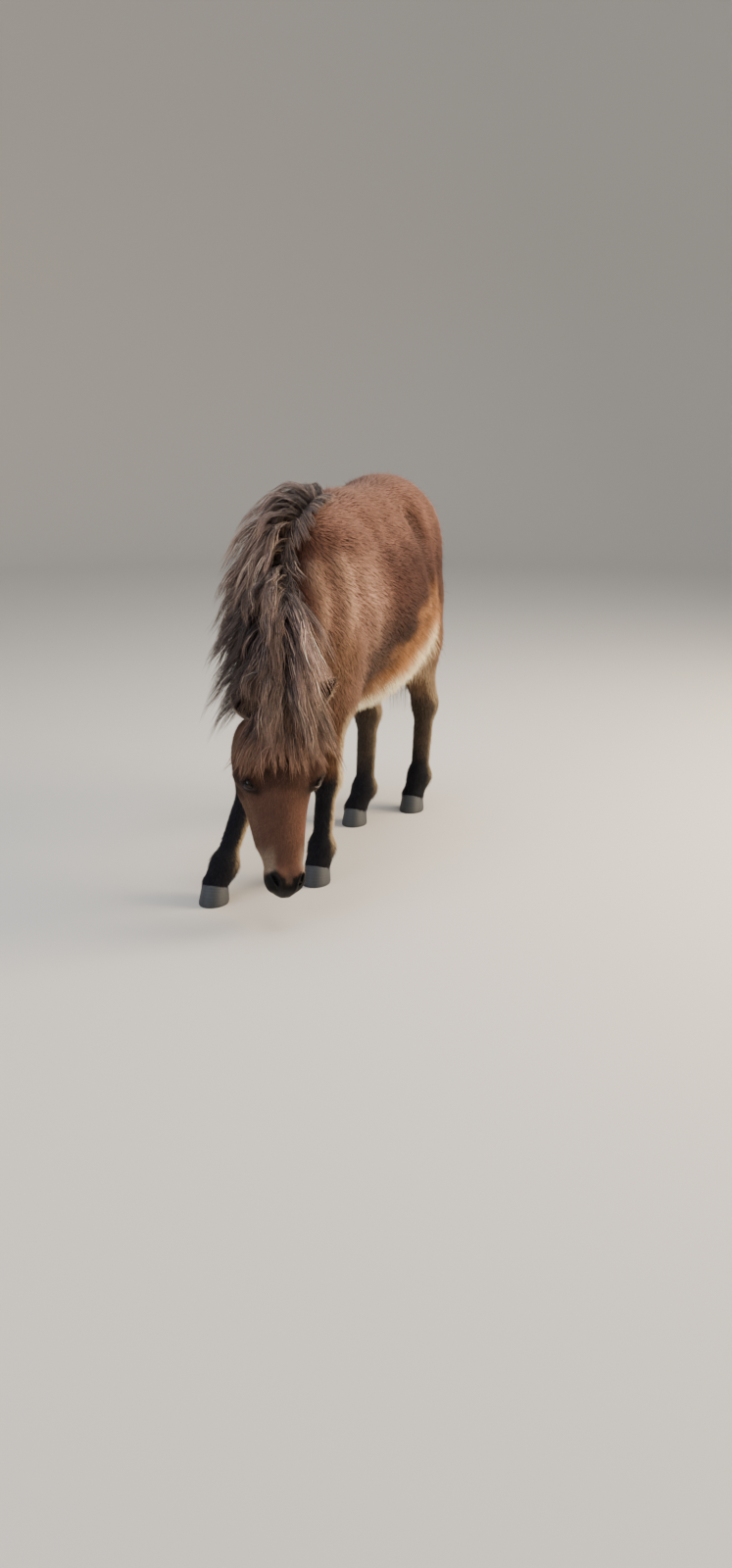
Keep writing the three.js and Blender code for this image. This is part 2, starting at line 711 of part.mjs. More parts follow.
// A thick sheet of hair between rows of points out in the air and the same rows sunk in the flesh
function hairSheet(rows, sunk) {
  const rings = rows.map((row) => {
    const inner = row.map((p) => {
      const q = p.clone();
      for (let turn = 0; turn < 2; turn++) q.addScaledVector(slope(flesh, q).normalize(), -flesh(q) - sunk);
      return q;
    });
    return [...row, ...inner.reverse()];
  });
  return solidOf(loft(rings));
}

const maneStart = 0.12;
const maneEnd = 0.94;
const maneFullness = (t) => Math.min(1, 0.4 + 2 * t);
const maneFallRight = (t) => (205 - 45 * t * t) * maneFullness(t);
const maneFallLeft = (t) => THREE.MathUtils.lerp(40, 120, THREE.MathUtils.smoothstep(t, 0.45, 0.85));

// The bushy heart of the mane, half way out to the tips
function maneCore() {
  const rows = [];
  for (let m = 0; m <= 7; m++) {
    const t = THREE.MathUtils.lerp(maneStart, maneEnd - 0.02, m / 7);
    const full = maneFullness(t);
    const drop = (side, length, bulge) => {
      const root = onFlesh(crestLine.getPoint(t).add(vec(side * 6, 0, 0)));
      const lie = vec(side * 0.45, -0.05, -0.9).normalize();
      const out = slope(flesh, root).normalize().addScaledVector(vec(side, 0, 0), 0.9);
      return lockPath(root, out, lie, length, 3, bulge * full).slice(1);
    };
    const crest = onFlesh(crestLine.getPoint(t));
    crest.addScaledVector(slope(flesh, crest).normalize(), THREE.MathUtils.lerp(44, 22, t) * full);
    const left = drop(1, 0.45 * maneFallLeft(t), 7).reverse();
    rows.push([...left, crest, ...drop(-1, 0.5 * maneFallRight(t), 44)]);
  }
  return hairSheet(rows, 8);
}

// Rows of mane roots: the side they fall to, the number of locks, how high they lie over the neck, share of
// the full length, how far they follow the crest downwards, and where on the crest the row starts
const maneRows = [
  { side: -1, count: 7, lift: 14, share: 1.05, along: 0, start: maneStart },
  { side: 1, count: 5, lift: 9, share: 1, along: 0.1, start: 0.45 },
  { side: 0.8, count: 5, lift: 22, share: 1.15, along: 0.5, start: 0.62 },
  { side: -0.45, count: 5, lift: 40, share: 0.75, along: 0.5, start: maneStart },
  { side: -1, count: 10, lift: 62, share: 0.95, along: 0.1, start: maneStart },
];

// Mane: overlapping locks, most fall to the right, some over the crest or to the left; the first lean back
function manePieces() {
  const random = seeded(11);
  const pieces = [];
  for (const { side, count, lift, share, along, start } of maneRows)
    for (let k = 0; k < count; k++) {
      const place = (k + 0.15 + 0.7 * random()) / count;
      const t = THREE.MathUtils.lerp(start, maneEnd, place);
      const root = onFlesh(crestLine.getPoint(t).add(vec(side * 8 * random(), 0, 0)));
      const back = Math.max(0, 0.4 - 1.3 * place) * (1 - along);
      const length = (side > 0 ? maneFallLeft(t) : maneFallRight(t)) * share * (0.86 + 0.34 * random());
      const lie = vec(side * 0.45, 1.6 * back + 0.5 * (random() - 0.5), -0.9);
      lie.addScaledVector(crestLine.getTangent(t), along).normalize();
      const out = slope(flesh, root).normalize().addScaledVector(vec(side, 0, 0.1), 0.8 + 0.3 * random());
      const path = lockPath(root, out, lie, length, 4, lift * maneFullness(t) * (0.8 + 0.4 * random()));
      const width = maneLock.width + maneLock.spread * random();
      pieces.push(lockSolid(swayed(path, random, 12), width, maneLock.thickness));
    }
  return pieces;
}

// Forelock: overlapping locks that fan from the poll over the forehead, between and beside the ears
function forelockPieces() {
  const random = seeded(5);
  const pieces = [];
  for (let k = 0; k < forelockCount; k++) {
    const spread = 2 * ((k * 0.618034) % 1) - 1;
    const layer = (k % 3) / 2;
    const root = onFlesh(onHead(spread * 32, -12, 22 + 40 * layer));
    const length = (165 - 75 * layer) * (0.88 + 0.26 * random());
    const aside = spread * 0.5 + 0.2 * (random() - 0.5);
    const lie = head.down.clone().addScaledVector(head.left, aside).normalize();
    const out = head.front.clone().addScaledVector(head.left, spread * 0.5).addScaledVector(head.down, 0.4);
    const path = lockPath(root, out, lie, length, 4, 8 + 12 * (1 - layer), 0.6);
    const width = forelockLock.width + forelockLock.spread * random();
    pieces.push(lockSolid(swayed(path, random, 7), width, forelockLock.thickness));
  }
  return pieces;
}

// Tail: a bony dock clothed in locks that hang close behind the thighs
const dockRoot = vec(0, 440, 842);
const dockPoints = [dockRoot, vec(0, 482, 810), vec(-2, 506, 748), vec(-4, 510, 690)];
const dock = new THREE.CatmullRomCurve3(dockPoints);
const dockWidths = [34, 36, 32, 24, 10];

// Tail: the fleshy dock, clothed in overlapping locks that hang clear of the thighs
function tailSolid() {
  const random = seeded(23);
  const rings = dockWidths.map((radius, i) => {
    const t = i / (dockWidths.length - 1);
    const ahead = dock.getTangent(t);
    const lift = vec(0, 0, 0).crossVectors(ahead, vec(1, 0, 0)).normalize();
    const ring = [];
    for (let k = 0; k < 12; k++) {
      const angle = (2 * Math.PI * k) / 12;
      const p = dock.getPoint(t).add(vec(radius * Math.cos(angle), 0, 0));
      ring.push(p.addScaledVector(lift, radius * 0.85 * Math.sin(angle)));
    }
    return ring;
  });
  const pieces = [];
  for (let k = 0; k < tailCount; k++) {
    const t = 0.1 + 0.85 * ((k * 0.618034) % 1);
    const angle = 2 * Math.PI * ((k * 0.381966 + 0.1 * random()) % 1);
    const out = vec(Math.cos(angle), 0.6 * Math.sin(angle) + 0.35, 0.2).normalize();
    const root = dock.getPoint(t);
    const spread = 0.55 + 0.5 * random();
    const drop = t < 0.4 ? 130 * random() : 0;
    const end = vec(62 * Math.cos(angle) * spread, 474 + 30 * Math.sin(angle) + 20 * random(), 0);
    end.z = dockRoot.z - tailLength + 190 * random() * random() + drop;
    const start = root.clone().addScaledVector(out, 26).addScaledVector(dock.getTangent(t), 30);
    const path = [root.clone().addScaledVector(out, 4)];
    for (let m = 0; m < 5; m++) {
      const p = start.clone().lerp(end, m / 4).addScaledVector(out, 18 * Math.sin((Math.PI * m) / 4));
      path.push(p);
    }
    const bent = swayed(path, random, 12);
    for (const p of bent.slice(1)) {
      const d = flesh(p);
      if (d < 12) p.addScaledVector(slope(flesh, p).normalize(), 12 - d);
    }
    pieces.push(lockSolid(bent, tailLock.width + tailLock.spread * random(), tailLock.thickness));
  }
  const hair = joined(solidOf(loft(rings)), pieces).simplify(lockTolerance);
  return largest(hair.subtract(rooms.torso));
}

const coronetNormal = vec(0, Math.sin(coronetSlope), Math.cos(coronetSlope));

function hoofSolid(center) {
  const segments = 18;
  const ring = (height, back, halfWidth, halfLength, slopeDown) => {
    const points = [];
    for (let s = 0; s < segments; s++) {
      const angle = (2 * Math.PI * s) / segments;
      const x = halfWidth * Math.cos(angle);
      const y = halfLength * Math.sin(angle);
      points.push(vec(center.x + x, center.y + back + y, height - slopeDown * (y + back)));
    }
    return points;
  };
  const fall = Math.tan(coronetSlope);
  const rings = [ring(0, 0, 33, 38, 0), ring(6, 1, 34, 38.5, 0), ring(hoofHeight, 10, 30, 32, fall)];
  return solidOf(loft(rings));
}

const coat = (color) => new THREE.MeshStandardMaterial({ color, roughness: 0.85, metalness: 0 });
const pony = new THREE.Group();
const centring = vec(0, 65.5, 0);
function add(name, solid, material) {
  const geometry = geometryOf(solid.simplify(meshTolerance));
  geometry.translate(centring.x, centring.y, centring.z);
  const mesh = new THREE.Mesh(geometry, material);
  mesh.name = name;
  pony.add(mesh);
}

add("torso", torsoSolid(), coat(0x7a4f38));
add("neck", neckSolid(), coat(0x7a4f38));
for (const [flank, s] of Object.entries(flanks)) {
  const ear = earSolid(flank, 0).subtract(rooms.head).subtract(rooms.neck);
  add(`ear_${flank}`, largest(ear), coat(0x3a2c2a));
  add(`eye_${flank}`, ball(eyeCenter(s), eyeRadius, 12), coat(0x15110f));
}
add("head", headSolid(), coat(0x6b4632));
add("tail", tailSolid(), coat(0x2c2224));
for (const name of Object.keys(legJoints)) add(name, legSolid(name), coat(0x2e2628));
for (const name of Object.keys(legJoints))
  add(name.replace("leg", "hoof"), hoofSolid(legJoints[name].hoof), coat(0x5d5a66));

export default pony;
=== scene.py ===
import math

import bpy
import numpy as np
from mathutils import Euler, Matrix, Vector
from mathutils.kdtree import KDTree


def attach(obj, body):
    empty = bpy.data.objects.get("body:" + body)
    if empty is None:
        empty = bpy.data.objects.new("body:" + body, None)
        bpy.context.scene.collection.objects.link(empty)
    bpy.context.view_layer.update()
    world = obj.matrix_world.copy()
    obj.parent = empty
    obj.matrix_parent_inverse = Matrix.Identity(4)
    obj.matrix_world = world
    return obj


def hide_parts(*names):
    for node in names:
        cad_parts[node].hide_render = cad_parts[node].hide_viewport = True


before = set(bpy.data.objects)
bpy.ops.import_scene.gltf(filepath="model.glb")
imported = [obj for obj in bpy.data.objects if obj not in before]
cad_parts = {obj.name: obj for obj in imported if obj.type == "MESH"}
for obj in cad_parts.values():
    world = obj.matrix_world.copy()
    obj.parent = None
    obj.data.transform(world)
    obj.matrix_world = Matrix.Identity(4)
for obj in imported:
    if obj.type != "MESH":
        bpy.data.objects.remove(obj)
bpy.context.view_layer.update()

centring = np.array([0.0, 65.5, 0.0])  # from the form lists' origin to the frame's


def toFrame(points):
    return (np.asarray(points, float) + centring) * 0.001


def unit(v):
    v = np.asarray(v, float)
    return v / np.maximum(np.linalg.norm(v, axis=-1, keepdims=True), 1e-9)


def ramp(low, high, v):
    t = np.clip((v - low) / (high - low), 0, 1)
    return t * t * (3 - 2 * t)


def linear(hexColour):
    # sRGB hex to linear red, green and blue
    parts = np.array([int(hexColour[i:i + 2], 16) / 255 for i in (1, 3, 5)])
    return np.where(parts <= 0.04045, parts / 12.92, ((parts + 0.055) / 1.055) ** 2.4)


def clearSelection():
    if bpy.context.mode != "OBJECT":
        bpy.ops.object.mode_set(mode="OBJECT")
    bpy.ops.object.select_all(action="DESELECT")


def choose(piece):
    clearSelection()
    piece.select_set(True)
    bpy.context.view_layer.objects.active = piece


def linked(name, data):
    # a new object in the scene from a mesh, lamp or camera
    thing = bpy.data.objects.new(name, data)
    bpy.context.scene.collection.objects.link(thing)
    return thing


# Camera: the photo's eye height, turn and pitch, about three metres from the pony
cameraSet = {
    "place": (1.0484, -2.7626, 1.040),
    "heading": (-0.3338, 0.9426),
    "pitch": 16.6,
    "focalPixels": 1200,
    "imageHeight": 1600,
    "sensor": 36,
}


def addCamera():
    data = bpy.data.cameras.new("camera")
    data.sensor_fit = "VERTICAL"
    data.sensor_height = cameraSet["sensor"]
    data.lens = cameraSet["focalPixels"] / cameraSet["imageHeight"] * cameraSet["sensor"]
    camera = linked("camera", data)
    pitch = math.radians(cameraSet["pitch"])
    hx, hy = cameraSet["heading"]
    look = Vector((hx * math.cos(pitch), hy * math.cos(pitch), -math.sin(pitch)))
    camera.location = cameraSet["place"]
    camera.rotation_euler = look.to_track_quat("-Z", "Y").to_euler()
    bpy.context.scene.camera = camera


addCamera()
print("camera set")

# Head: hangs from the poll, turned to the pony's left
headSet = {"poll": (46, -545, 508), "lips": (118, -678, 80), "yaw": 40}
poll = np.array(headSet["poll"], float)
headDown = unit(np.array(headSet["lips"]) - poll)
headForward = np.array([math.sin(math.radians(headSet["yaw"])), -math.cos(math.radians(headSet["yaw"])), 0])
headLeft = unit(np.cross(headForward, headDown))
headFront = unit(np.cross(headDown, headLeft))
headTurn = np.column_stack([headLeft, headFront, headDown])


def onHead(left, front, down):
    return poll + headTurn @ np.array([left, front, down], float)


def inHead(points):
    # left, front and down in the head's own frame
    return (points - poll) @ headTurn


# Legs: joints from the body down to the hoof's middle on the ground
legJoints = {
    "foreleg_left": {"side": 1, "top": (60, -290, 440), "knee": (62, -320, 255),
                     "fetlock": (53, -338, 86), "hoof": (48, -364, 0)},
    "foreleg_right": {"side": -1, "top": (-64, -310, 440), "knee": (-86, -424, 262),
                      "fetlock": (-116, -524, 84), "hoof": (-128, -560, 0)},
    "hindleg_left": {"side": 1, "top": (96, 240, 500), "hock": (112, 318, 305),
                     "fetlock": (107, 290, 100), "hoof": (94, 260, 0)},
    "hindleg_right": {"side": -1, "top": (-70, 165, 500), "hock": (-4, 160, 305),
                      "fetlock": (-2, 126, 98), "hoof": (-19, 89, 0)},
}
bodySet = {"barrelWidth": 412, "hoofHeight": 44}


# Forms of the flesh: each has a distance in millimetres, negative inside, and a width over which it blends
def muscle(center, radii, turn=0, blend=50, head=False):
    turning = np.array(Euler((math.radians(turn), 0, 0)).to_matrix())
    center = np.array(center, float)
    if head:
        center = onHead(*center)
        turning = headTurn @ turning
    return {"kind": "muscle", "center": center, "turning": turning, "radii": np.array(radii, float),
            "blend": blend, "middle": center, "reach": max(radii)}


def bone(start, startRadius, end, endRadius, blend=35, head=False, across=None, narrow=1):
    start, end = (onHead(*p) if head else np.array(p, float) for p in (start, end))
    reach = np.linalg.norm(end - start) / 2 + max(startRadius, endRadius)
    return {"kind": "bone", "start": start, "end": end, "radii": (startRadius, endRadius), "blend": blend,
            "across": None if across is None else unit(across), "narrow": narrow,
            "middle": (start + end) / 2, "reach": reach}


def formDistance(form, p):
    if form["kind"] == "muscle":
        q = (p - form["center"]) @ form["turning"]
        k0 = np.linalg.norm(q / form["radii"], axis=1)
        k1 = np.linalg.norm(q / form["radii"] ** 2, axis=1)
        return k0 * (k0 - 1) / np.maximum(k1, 1e-9)
    axis = form["end"] - form["start"]
    l2 = axis @ axis
    r0, r1 = form["radii"]
    rr = r0 - r1
    a2 = l2 - rr * rr
    q = p - form["start"]
    if form["across"] is not None:
        q = q + np.outer((1 / form["narrow"] - 1) * (q @ form["across"]), form["across"])
    y = q @ axis
    z = y - l2
    x2 = np.sum((q * l2 - np.outer(y, axis)) ** 2, axis=1)
    k = np.sign(rr) * rr * rr * x2
    y2, z2 = y * y * l2, z * z * l2
    side = (np.sqrt(x2 * a2 / l2) + y * rr) / l2 - r0
    low = np.sqrt(x2 + y2) / l2 - r0
    high = np.sqrt(x2 + z2) / l2 - r1
    return np.where(np.sign(z) * a2 * z2 > k, high, np.where(np.sign(y) * a2 * y2 < k, low, side))


def torsoForms():
    half = bodySet["barrelWidth"] / 2
    forms = [
        muscle((0, -10, 612), (half, 290, 248), 0, 60),
        muscle((0, 135, 640), (half * 0.88, 200, 222), 6, 80),
        muscle((0, -200, 625), (142, 180, 232), 0, 80),
        bone((0, -275, 800), 66, (0, -90, 824), 70, 70),
        bone((0, -90, 820), 84, (0, 160, 824), 102, 70),
        muscle((0, 265, 757), (152, 172, 184), 0, 70),
        bone((0, 330, 804), 94, (0, 405, 772), 65, 60),
        muscle((0, -325, 560), (92, 78, 130), 0, 60),
    ]
    for s in (1, -1):
        forms += [
            muscle((s * 84, -255, 640), (60, 105, 190), -12, 60),
            muscle((s * 66, -285, 500), (48, 80, 105), 0, 50),
            muscle((s * 70, 310, 655), (79, 122, 196), -8, 60),
            muscle((s * 72, 230, 560), (66, 110, 120), 0, 60),
        ]
    return forms


def neckForms():
    base, middle, end = (0, -230, 715), (18, -370, 590), (46, -480, 455)
    return [
        bone(base, 152, middle, 116, 70, False, (0.98, 0.1, 0), 0.6),
        bone(middle, 116, end, 82, 60, False, (0.9, 0.4, 0), 0.58),
    ]


def shifted(p, x=0, y=0, z=0):
    return (p[0] + x, p[1] + y, p[2] + z)


def forelegForms(j):
    coronet = shifted(j["hoof"], 0, 10, bodySet["hoofHeight"])
    return [
        bone((j["side"] * 70, -335, 560), 72, j["top"], 54, 50),
        bone(j["top"], 52, j["knee"], 32, 40),
        muscle(j["knee"], (34, 34, 44), 0, 22),
        bone(j["knee"], 28, j["fetlock"], 25, 22),
        muscle(j["fetlock"], (31, 34, 30), 0, 20),
        muscle(shifted(j["fetlock"], 0, 20, -12), (22, 20, 24), 0, 18),
        bone(j["fetlock"], 27, coronet, 31, 20),
    ]


def hindlegForms(j):
    coronet = shifted(j["hoof"], 0, 10, bodySet["hoofHeight"])
    point = shifted(j["hock"], 0, 34, 34)
    return [
        bone((j["side"] * 66, j["top"][1] + 60, 600), 84, j["top"], 74, 60),
        bone(j["top"], 68, j["hock"], 34, 50),
        muscle(j["hock"], (34, 38, 46), 0, 22),
        bone(point, 19, j["hock"], 26, 22),
        bone(point, 18, shifted(j["hock"], j["side"] * 6, 40, 130), 24, 26),
        bone(j["hock"], 30, j["fetlock"], 26, 22),
        muscle(j["fetlock"], (32, 35, 31), 0, 20),
        muscle(shifted(j["fetlock"], 0, 20, -12), (23, 21, 25), 0, 18),
        bone(j["fetlock"], 28, coronet, 32, 20),
    ]


def headForms():
    forms = [
        muscle((0, -56, 70), (54, 58, 84), 0, 36, True),
        muscle((0, -60, 120), (68, 58, 74), 0, 36, True),
        muscle((0, -50, 165), (78, 52, 90), 0, 40, True),
        bone((0, -52, 205), 67, (0, -48, 350), 49, 35, True),
        muscle((0, -50, 402), (38, 44, 46), 0, 24, True),
        muscle((0, -88, 412), (31, 24, 28), 0, 20, True),
        bone((0, -82, 250), 38, (0, -86, 380), 27, 30, True),
    ]
    for s in (1, -1):
        forms += [
            muscle((s * 48, -112, 134), (40, 62, 88), 0, 36, True),
            muscle((s * 76, -42, 172), (30, 34, 34), 0, 26, True),
            bone((s * 42, -108, 205), 34, (s * 25, -86, 320), 24, 30, True),
            muscle((s * 24, -34, 400), (18, 26, 30), 0, 16, True),
        ]
    return forms


fleshGroups = {"torso": torsoForms(), "neck": neckForms()}
for legName, legJoint in legJoints.items():
    fleshGroups[legName] = forelegForms(legJoint) if legName.startswith("fore") else hindlegForms(legJoint)
fleshGroups["head"] = headForms()
farAway = 1e4
blendReach = 110  # forms further away than this don't blend
shareFade = 16  # how softly one part of the body passes into the next
flattest = 0.09  # least squared slope that a step divides by


def blended(a, b, k):
    h = np.maximum(k - np.abs(a - b), 0) / k
    return np.minimum(a, b) - h * h * k * 0.25


def flesh(points, byGroup=False):
    # distance to the outside of flesh and coat together, and on request to each group alone
    total = np.full(len(points), farAway)
    groups = {}
    for name, forms in fleshGroups.items():
        own = np.full(len(points), farAway)
        for form in forms:
            near = np.sum((points - form["middle"]) ** 2, axis=1) < (form["reach"] + blendReach) ** 2
            if not near.any():
                continue
            distance = formDistance(form, points[near])
            total[near] = blended(total[near], distance, form["blend"])
            if byGroup:
                own[near] = blended(own[near], distance, form["blend"])
        groups[name] = own
    return (total, groups) if byGroup else total


def slope(field, points, reach=1.5):
    # outward slope from four samples on a tetrahedron
    steps = np.array([[1, 1, 1], [1, -1, -1], [-1, 1, -1], [-1, -1, 1]], float)
    return sum(np.outer(field(points + s * reach), s) for s in steps) / (4 * reach)


def groupShares(points):
    # how much each part of the body holds a point, adding up to one
    total, groups = flesh(points, True)
    shares = {name: np.exp(-np.clip(own - total, 0, 400) / shareFade) for name, own in groups.items()}
    whole = sum(shares.values())
    return {name: share / whole for name, share in shares.items()}


def legShare(shares):
    return sum(shares[name] for name in legJoints)


# The coat's depth on each part: how far the skin lies under the tips
coatDepth = {"torso": 10, "neck": 10, "head": 3.2, "legTop": 7, "legLow": 3.5, "muzzle": 1.0}


def lowOnLeg(points):
    return ramp(380, 240, points[:, 2])


def depthOfCoat(points, shares):
    low = lowOnLeg(points)
    depth = sum(coatDepth[part] * shares[part] for part in ("torso", "neck", "head"))
    depth = depth + legShare(shares) * (coatDepth["legTop"] * (1 - low) + coatDepth["legLow"] * low)
    nose = ramp(372, 398, (points - poll) @ headDown) * shares["head"]
    return depth * (1 - nose) + coatDepth["muzzle"] * nose


def addBall(place, radius, scale, detail=(24, 14), turning=(0, 0, 0)):
    bpy.ops.mesh.primitive_uv_sphere_add(segments=detail[0], ring_count=detail[1], radius=radius,
                                         location=toFrame(place), rotation=turning, scale=scale)
    return bpy.context.object


def addForm(form):
    # a rough solid for one form, a little inside it: a turned ball, or a cone between two balls
    if form["kind"] == "muscle":
        turning = Matrix(form["turning"].tolist()).to_euler()
        return [addBall(form["center"], 1, (form["radii"] - 4) * 0.001, (28, 16), turning)]
    axis = Vector(form["end"] - form["start"])
    first, last = form["radii"]
    width = form["narrow"]
    along = (0, 1) if width == 1 else (0, 1, 0.2, 0.4, 0.6, 0.8)
    made = []
    for t in along:
        place = form["start"] + t * (form["end"] - form["start"])
        made.append(addBall(place, (first + t * (last - first) - 3) * 0.001, (width, 1, 1)))
    if width == 1:
        bpy.ops.mesh.primitive_cone_add(vertices=24, radius1=(first - 3) * 0.001, radius2=(last - 3) * 0.001,
                                        depth=axis.length * 0.001, location=toFrame(form["middle"]),
                                        rotation=axis.to_track_quat("Z", "Y").to_euler())
        made.append(bpy.context.object)
    return made


def joinedPiece(pieces, name):
    clearSelection()
    for piece in pieces:
        piece.select_set(True)
    bpy.context.view_layer.objects.active = pieces[0]
    if len(pieces) > 1:
        bpy.ops.object.join()
    piece = bpy.context.object
    bpy.ops.object.transform_apply(location=True, rotation=True, scale=True)
    piece.name = piece.data.name = name
    return piece


def arrayOf(collection, key, width=1, kind=np.float32):
    # one value or vector of each element
    values = np.empty(len(collection) * width, kind)
    collection.foreach_get(key, values)
    return values.reshape(-1, width) if width > 1 else values


def places(mesh):
    return arrayOf(mesh.vertices, "co", 3).astype(float) * 1000 - centring


def setPlaces(mesh, points):
    mesh.vertices.foreach_set("co", toFrame(points).astype(np.float32).ravel())
    mesh.update()


def edgesOf(mesh):
    return arrayOf(mesh.edges, "vertices", 2, np.int64)


def relaxed(points, edges, turns, share=0.5):
    # each vertex moves towards the middle of its neighbours
    for _ in range(turns):
        total = np.zeros_like(points)
        count = np.zeros(len(points))
        for a, b in ((0, 1), (1, 0)):
            np.add.at(total, edges[:, a], points[edges[:, b]])
            np.add.at(count, edges[:, a], 1)
        points = points + share * (total / np.maximum(count, 1)[:, None] - points)
    return points


def waves(points, size, seed, parts=7):
    # smooth wandering values from about -1 to 1, with features of the given size in millimetres
    random = np.random.default_rng(seed)
    total = np.zeros(len(points))
    for _ in range(parts):
        way = unit(random.normal(size=3)) * 2 * math.pi / (size * random.uniform(0.7, 1.8))
        total += np.sin(points @ way + random.uniform(0, 6.28))
    return total / math.sqrt(parts) * 1.2


def throughFour(before, a, b, after, f):
    # from a to b on a smooth curve that also heeds the points before and after them
    return 0.5 * (2 * a + (b - before) * f + (2 * before - 5 * a + 4 * b - after) * f ** 2
                  + (3 * a - before - 3 * b + after) * f ** 3)


def curveAt(knots, t):
    # smooth curve through knots, t from 0 to 1
    knots = np.asarray(knots, float)
    last = len(knots) - 1
    u = np.clip(np.asarray(t, float), 0, 1) * last
    i = np.clip(u.astype(int), 0, last - 1)
    return throughFour(knots[np.maximum(i - 1, 0)], knots[i], knots[i + 1], knots[np.minimum(i + 2, last)],
                       (u - i)[:, None])


def curveWay(knots, t):
    return unit(curveAt(knots, np.clip(t + 0.01, 0, 1)) - curveAt(knots, np.clip(t - 0.01, 0, 1)))


# Lines on neck and trunk, mirrored on the other side: their width, then for each its strength and knots
coatLines = {
    "ridgeHighlight": (21, [
        (1.0, [(55, -380, 759), (81, -393, 704), (96, -417, 650), (99, -438, 605)]),
        (1.0, [(99, -332, 770), (119, -335, 713), (129, -341, 656), (135, -372, 594), (126, -388, 538)]),
        (0.35, [(144, -285, 716), (164, -250, 645), (162, -245, 576)]),
    ]),
    "groove": (20, [(1.0, [(98, -434, 624), (107, -427, 580), (111, -410, 533), (107, -380, 482)])]),
    "hip": (28, [
        (1.0, [(122, 148, 838), (148, 134, 800), (178, 110, 742), (198, 98, 690), (208, 102, 640)]),
        (1.0, [(126, 146, 836), (136, 152, 822), (146, 150, 806)]),
    ]),
}
lineHeights = {"ridgeHighlight": -6, "groove": 5, "hip": 24}  # how far the skin sinks on them


def onLines(points, kind):
    # 1 on the lines of one kind, fading to 0 across their width
    width, lines = coatLines[kind]
    total = np.zeros(len(points))
    for strength, knots in lines:
        for s in (1, -1):
            best = np.full(len(points), farAway)
            for place in curveAt(np.array(knots) * (s, 1, 1), np.linspace(0, 1, 24)):
                best = np.minimum(best, np.linalg.norm(points - place, axis=1))
            total += strength * np.exp(-(best / width) ** 2)
    return np.clip(total, 0, 1)


# Skin: voxels in metres, steps towards its place, and the balls under the lids. Eyes: place and way out in
# the head's frame, the slant and size of the opening, and how far the cornea bulges as a share
skinSet = {"voxel": 0.0085, "settleTurns": 4, "longestStep": 14, "lidBall": 19.2, "lidBlend": 9}
eyeSet = {"radius": 17, "place": (70, -26, 196), "out": (8.2, 5.8, 0.6), "slant": 1.2, "lidLength": 16,
          "lidHeight": 9.4, "lidRim": 1.15, "lidFall": 0.25, "socketGap": 3.5, "cornea": 0.07, "iris": 11,
          "pupilLength": 6.2, "pupilHeight": 3.4}


def eyeCenter(s):
    left, front, down = eyeSet["place"]
    return onHead(s * left, front, down)


def eyeAxes(s):
    # along the lids, across them towards the brow, and out of the eye
    left, front, down = eyeSet["out"]
    out = unit(headTurn @ np.array([s * left, front, down]))
    run = unit(headDown + eyeSet["slant"] * headFront)
    across = unit(np.cross(out, run))
    run = unit(np.cross(across, out))
    if across @ headFront < 0:
        across = -across
    return run, across, out


def almond(points, s):
    # 1 on the edge of the lids' opening, less inside it; and the height out of the eye's middle
    run, across, out = eyeAxes(s)
    q = points - eyeCenter(s)
    a, b = (q @ run) / eyeSet["lidLength"], (q @ across) / eyeSet["lidHeight"]
    size = np.hypot(a, b)
    b = b / (1 - eyeSet["lidFall"] * np.abs(a) / np.maximum(size, 1e-6))
    return np.hypot(a, b), q @ out


# Small forms of the head: height, place in the head's frame and spread, all in millimetres
headRelief = [
    (2.5, (72, -10, 170), (16, 16, 16)),     # brow over the eye
    (-5.0, (56, -12, 142), (16, 18, 16)),    # hollow above the eye
    (-3.5, (64, -14, 226), (14, 16, 16)),    # hollow below it
    (2.4, (32, -16, 280), (9, 16, 56)),      # edge of the nasal bone
    (3.0, (74, -62, 220), (12, 9, 40)),      # ridge of the cheek bone
    (-3.0, (48, -52, 306), (14, 20, 50)),    # hollow before the jaw
    (1.6, (32, -14, 396), (10, 14, 24)),     # rim of the nostril
    (-2.4, (0, -4, 396), (9, 20, 26)),       # dip between the nostrils
    (2.0, (13, -10, 434), (10, 14, 12)),     # upper lip
    (2.0, (12, -98, 432), (14, 12, 12)),     # lower lip
]


def nostrilRing(q):
    # 1 on the rim of the nostril's slanted slit, less inside it
    left = np.abs(q[:, 0])
    return np.hypot((left - 29 + 0.45 * (q[:, 2] - 406)) / 4.4, (q[:, 2] - 406 + 0.5 * (q[:, 1] + 16)) / 15)


def mouthLine(q):
    return np.abs((q[:, 1] + 78) + 0.29 * (q[:, 2] - 408))


reliefSet = {"nostrilDepth": 7, "nostrilRim": 1.6, "mouthDepth": 4.5}


def headDetail(points, shares):
    q = inHead(points)
    left, front, down = np.abs(q[:, 0]), q[:, 1], q[:, 2]
    height = np.zeros(len(q))
    mirrored = np.stack([left, front, down], axis=1)
    for amount, place, spread in headRelief:
        height += amount * np.exp(-np.sum(((mirrored - place) / spread) ** 2, axis=1))
    ring = nostrilRing(q)
    outside = ramp(-62, -34, front)
    height -= reliefSet["nostrilDepth"] * ramp(1.4, 0.3, ring) * outside
    height += (reliefSet["nostrilRim"] * np.exp(-((ring - 1.6) / 0.4) ** 2) * outside
               * ramp(32, 24, left + 0.45 * (down - 406)))
    height -= (reliefSet["mouthDepth"] * np.exp(-(mouthLine(q) / 2.6) ** 2) * ramp(345, 368, down)
               * ramp(-20, -60, front))
    return height * shares["head"]


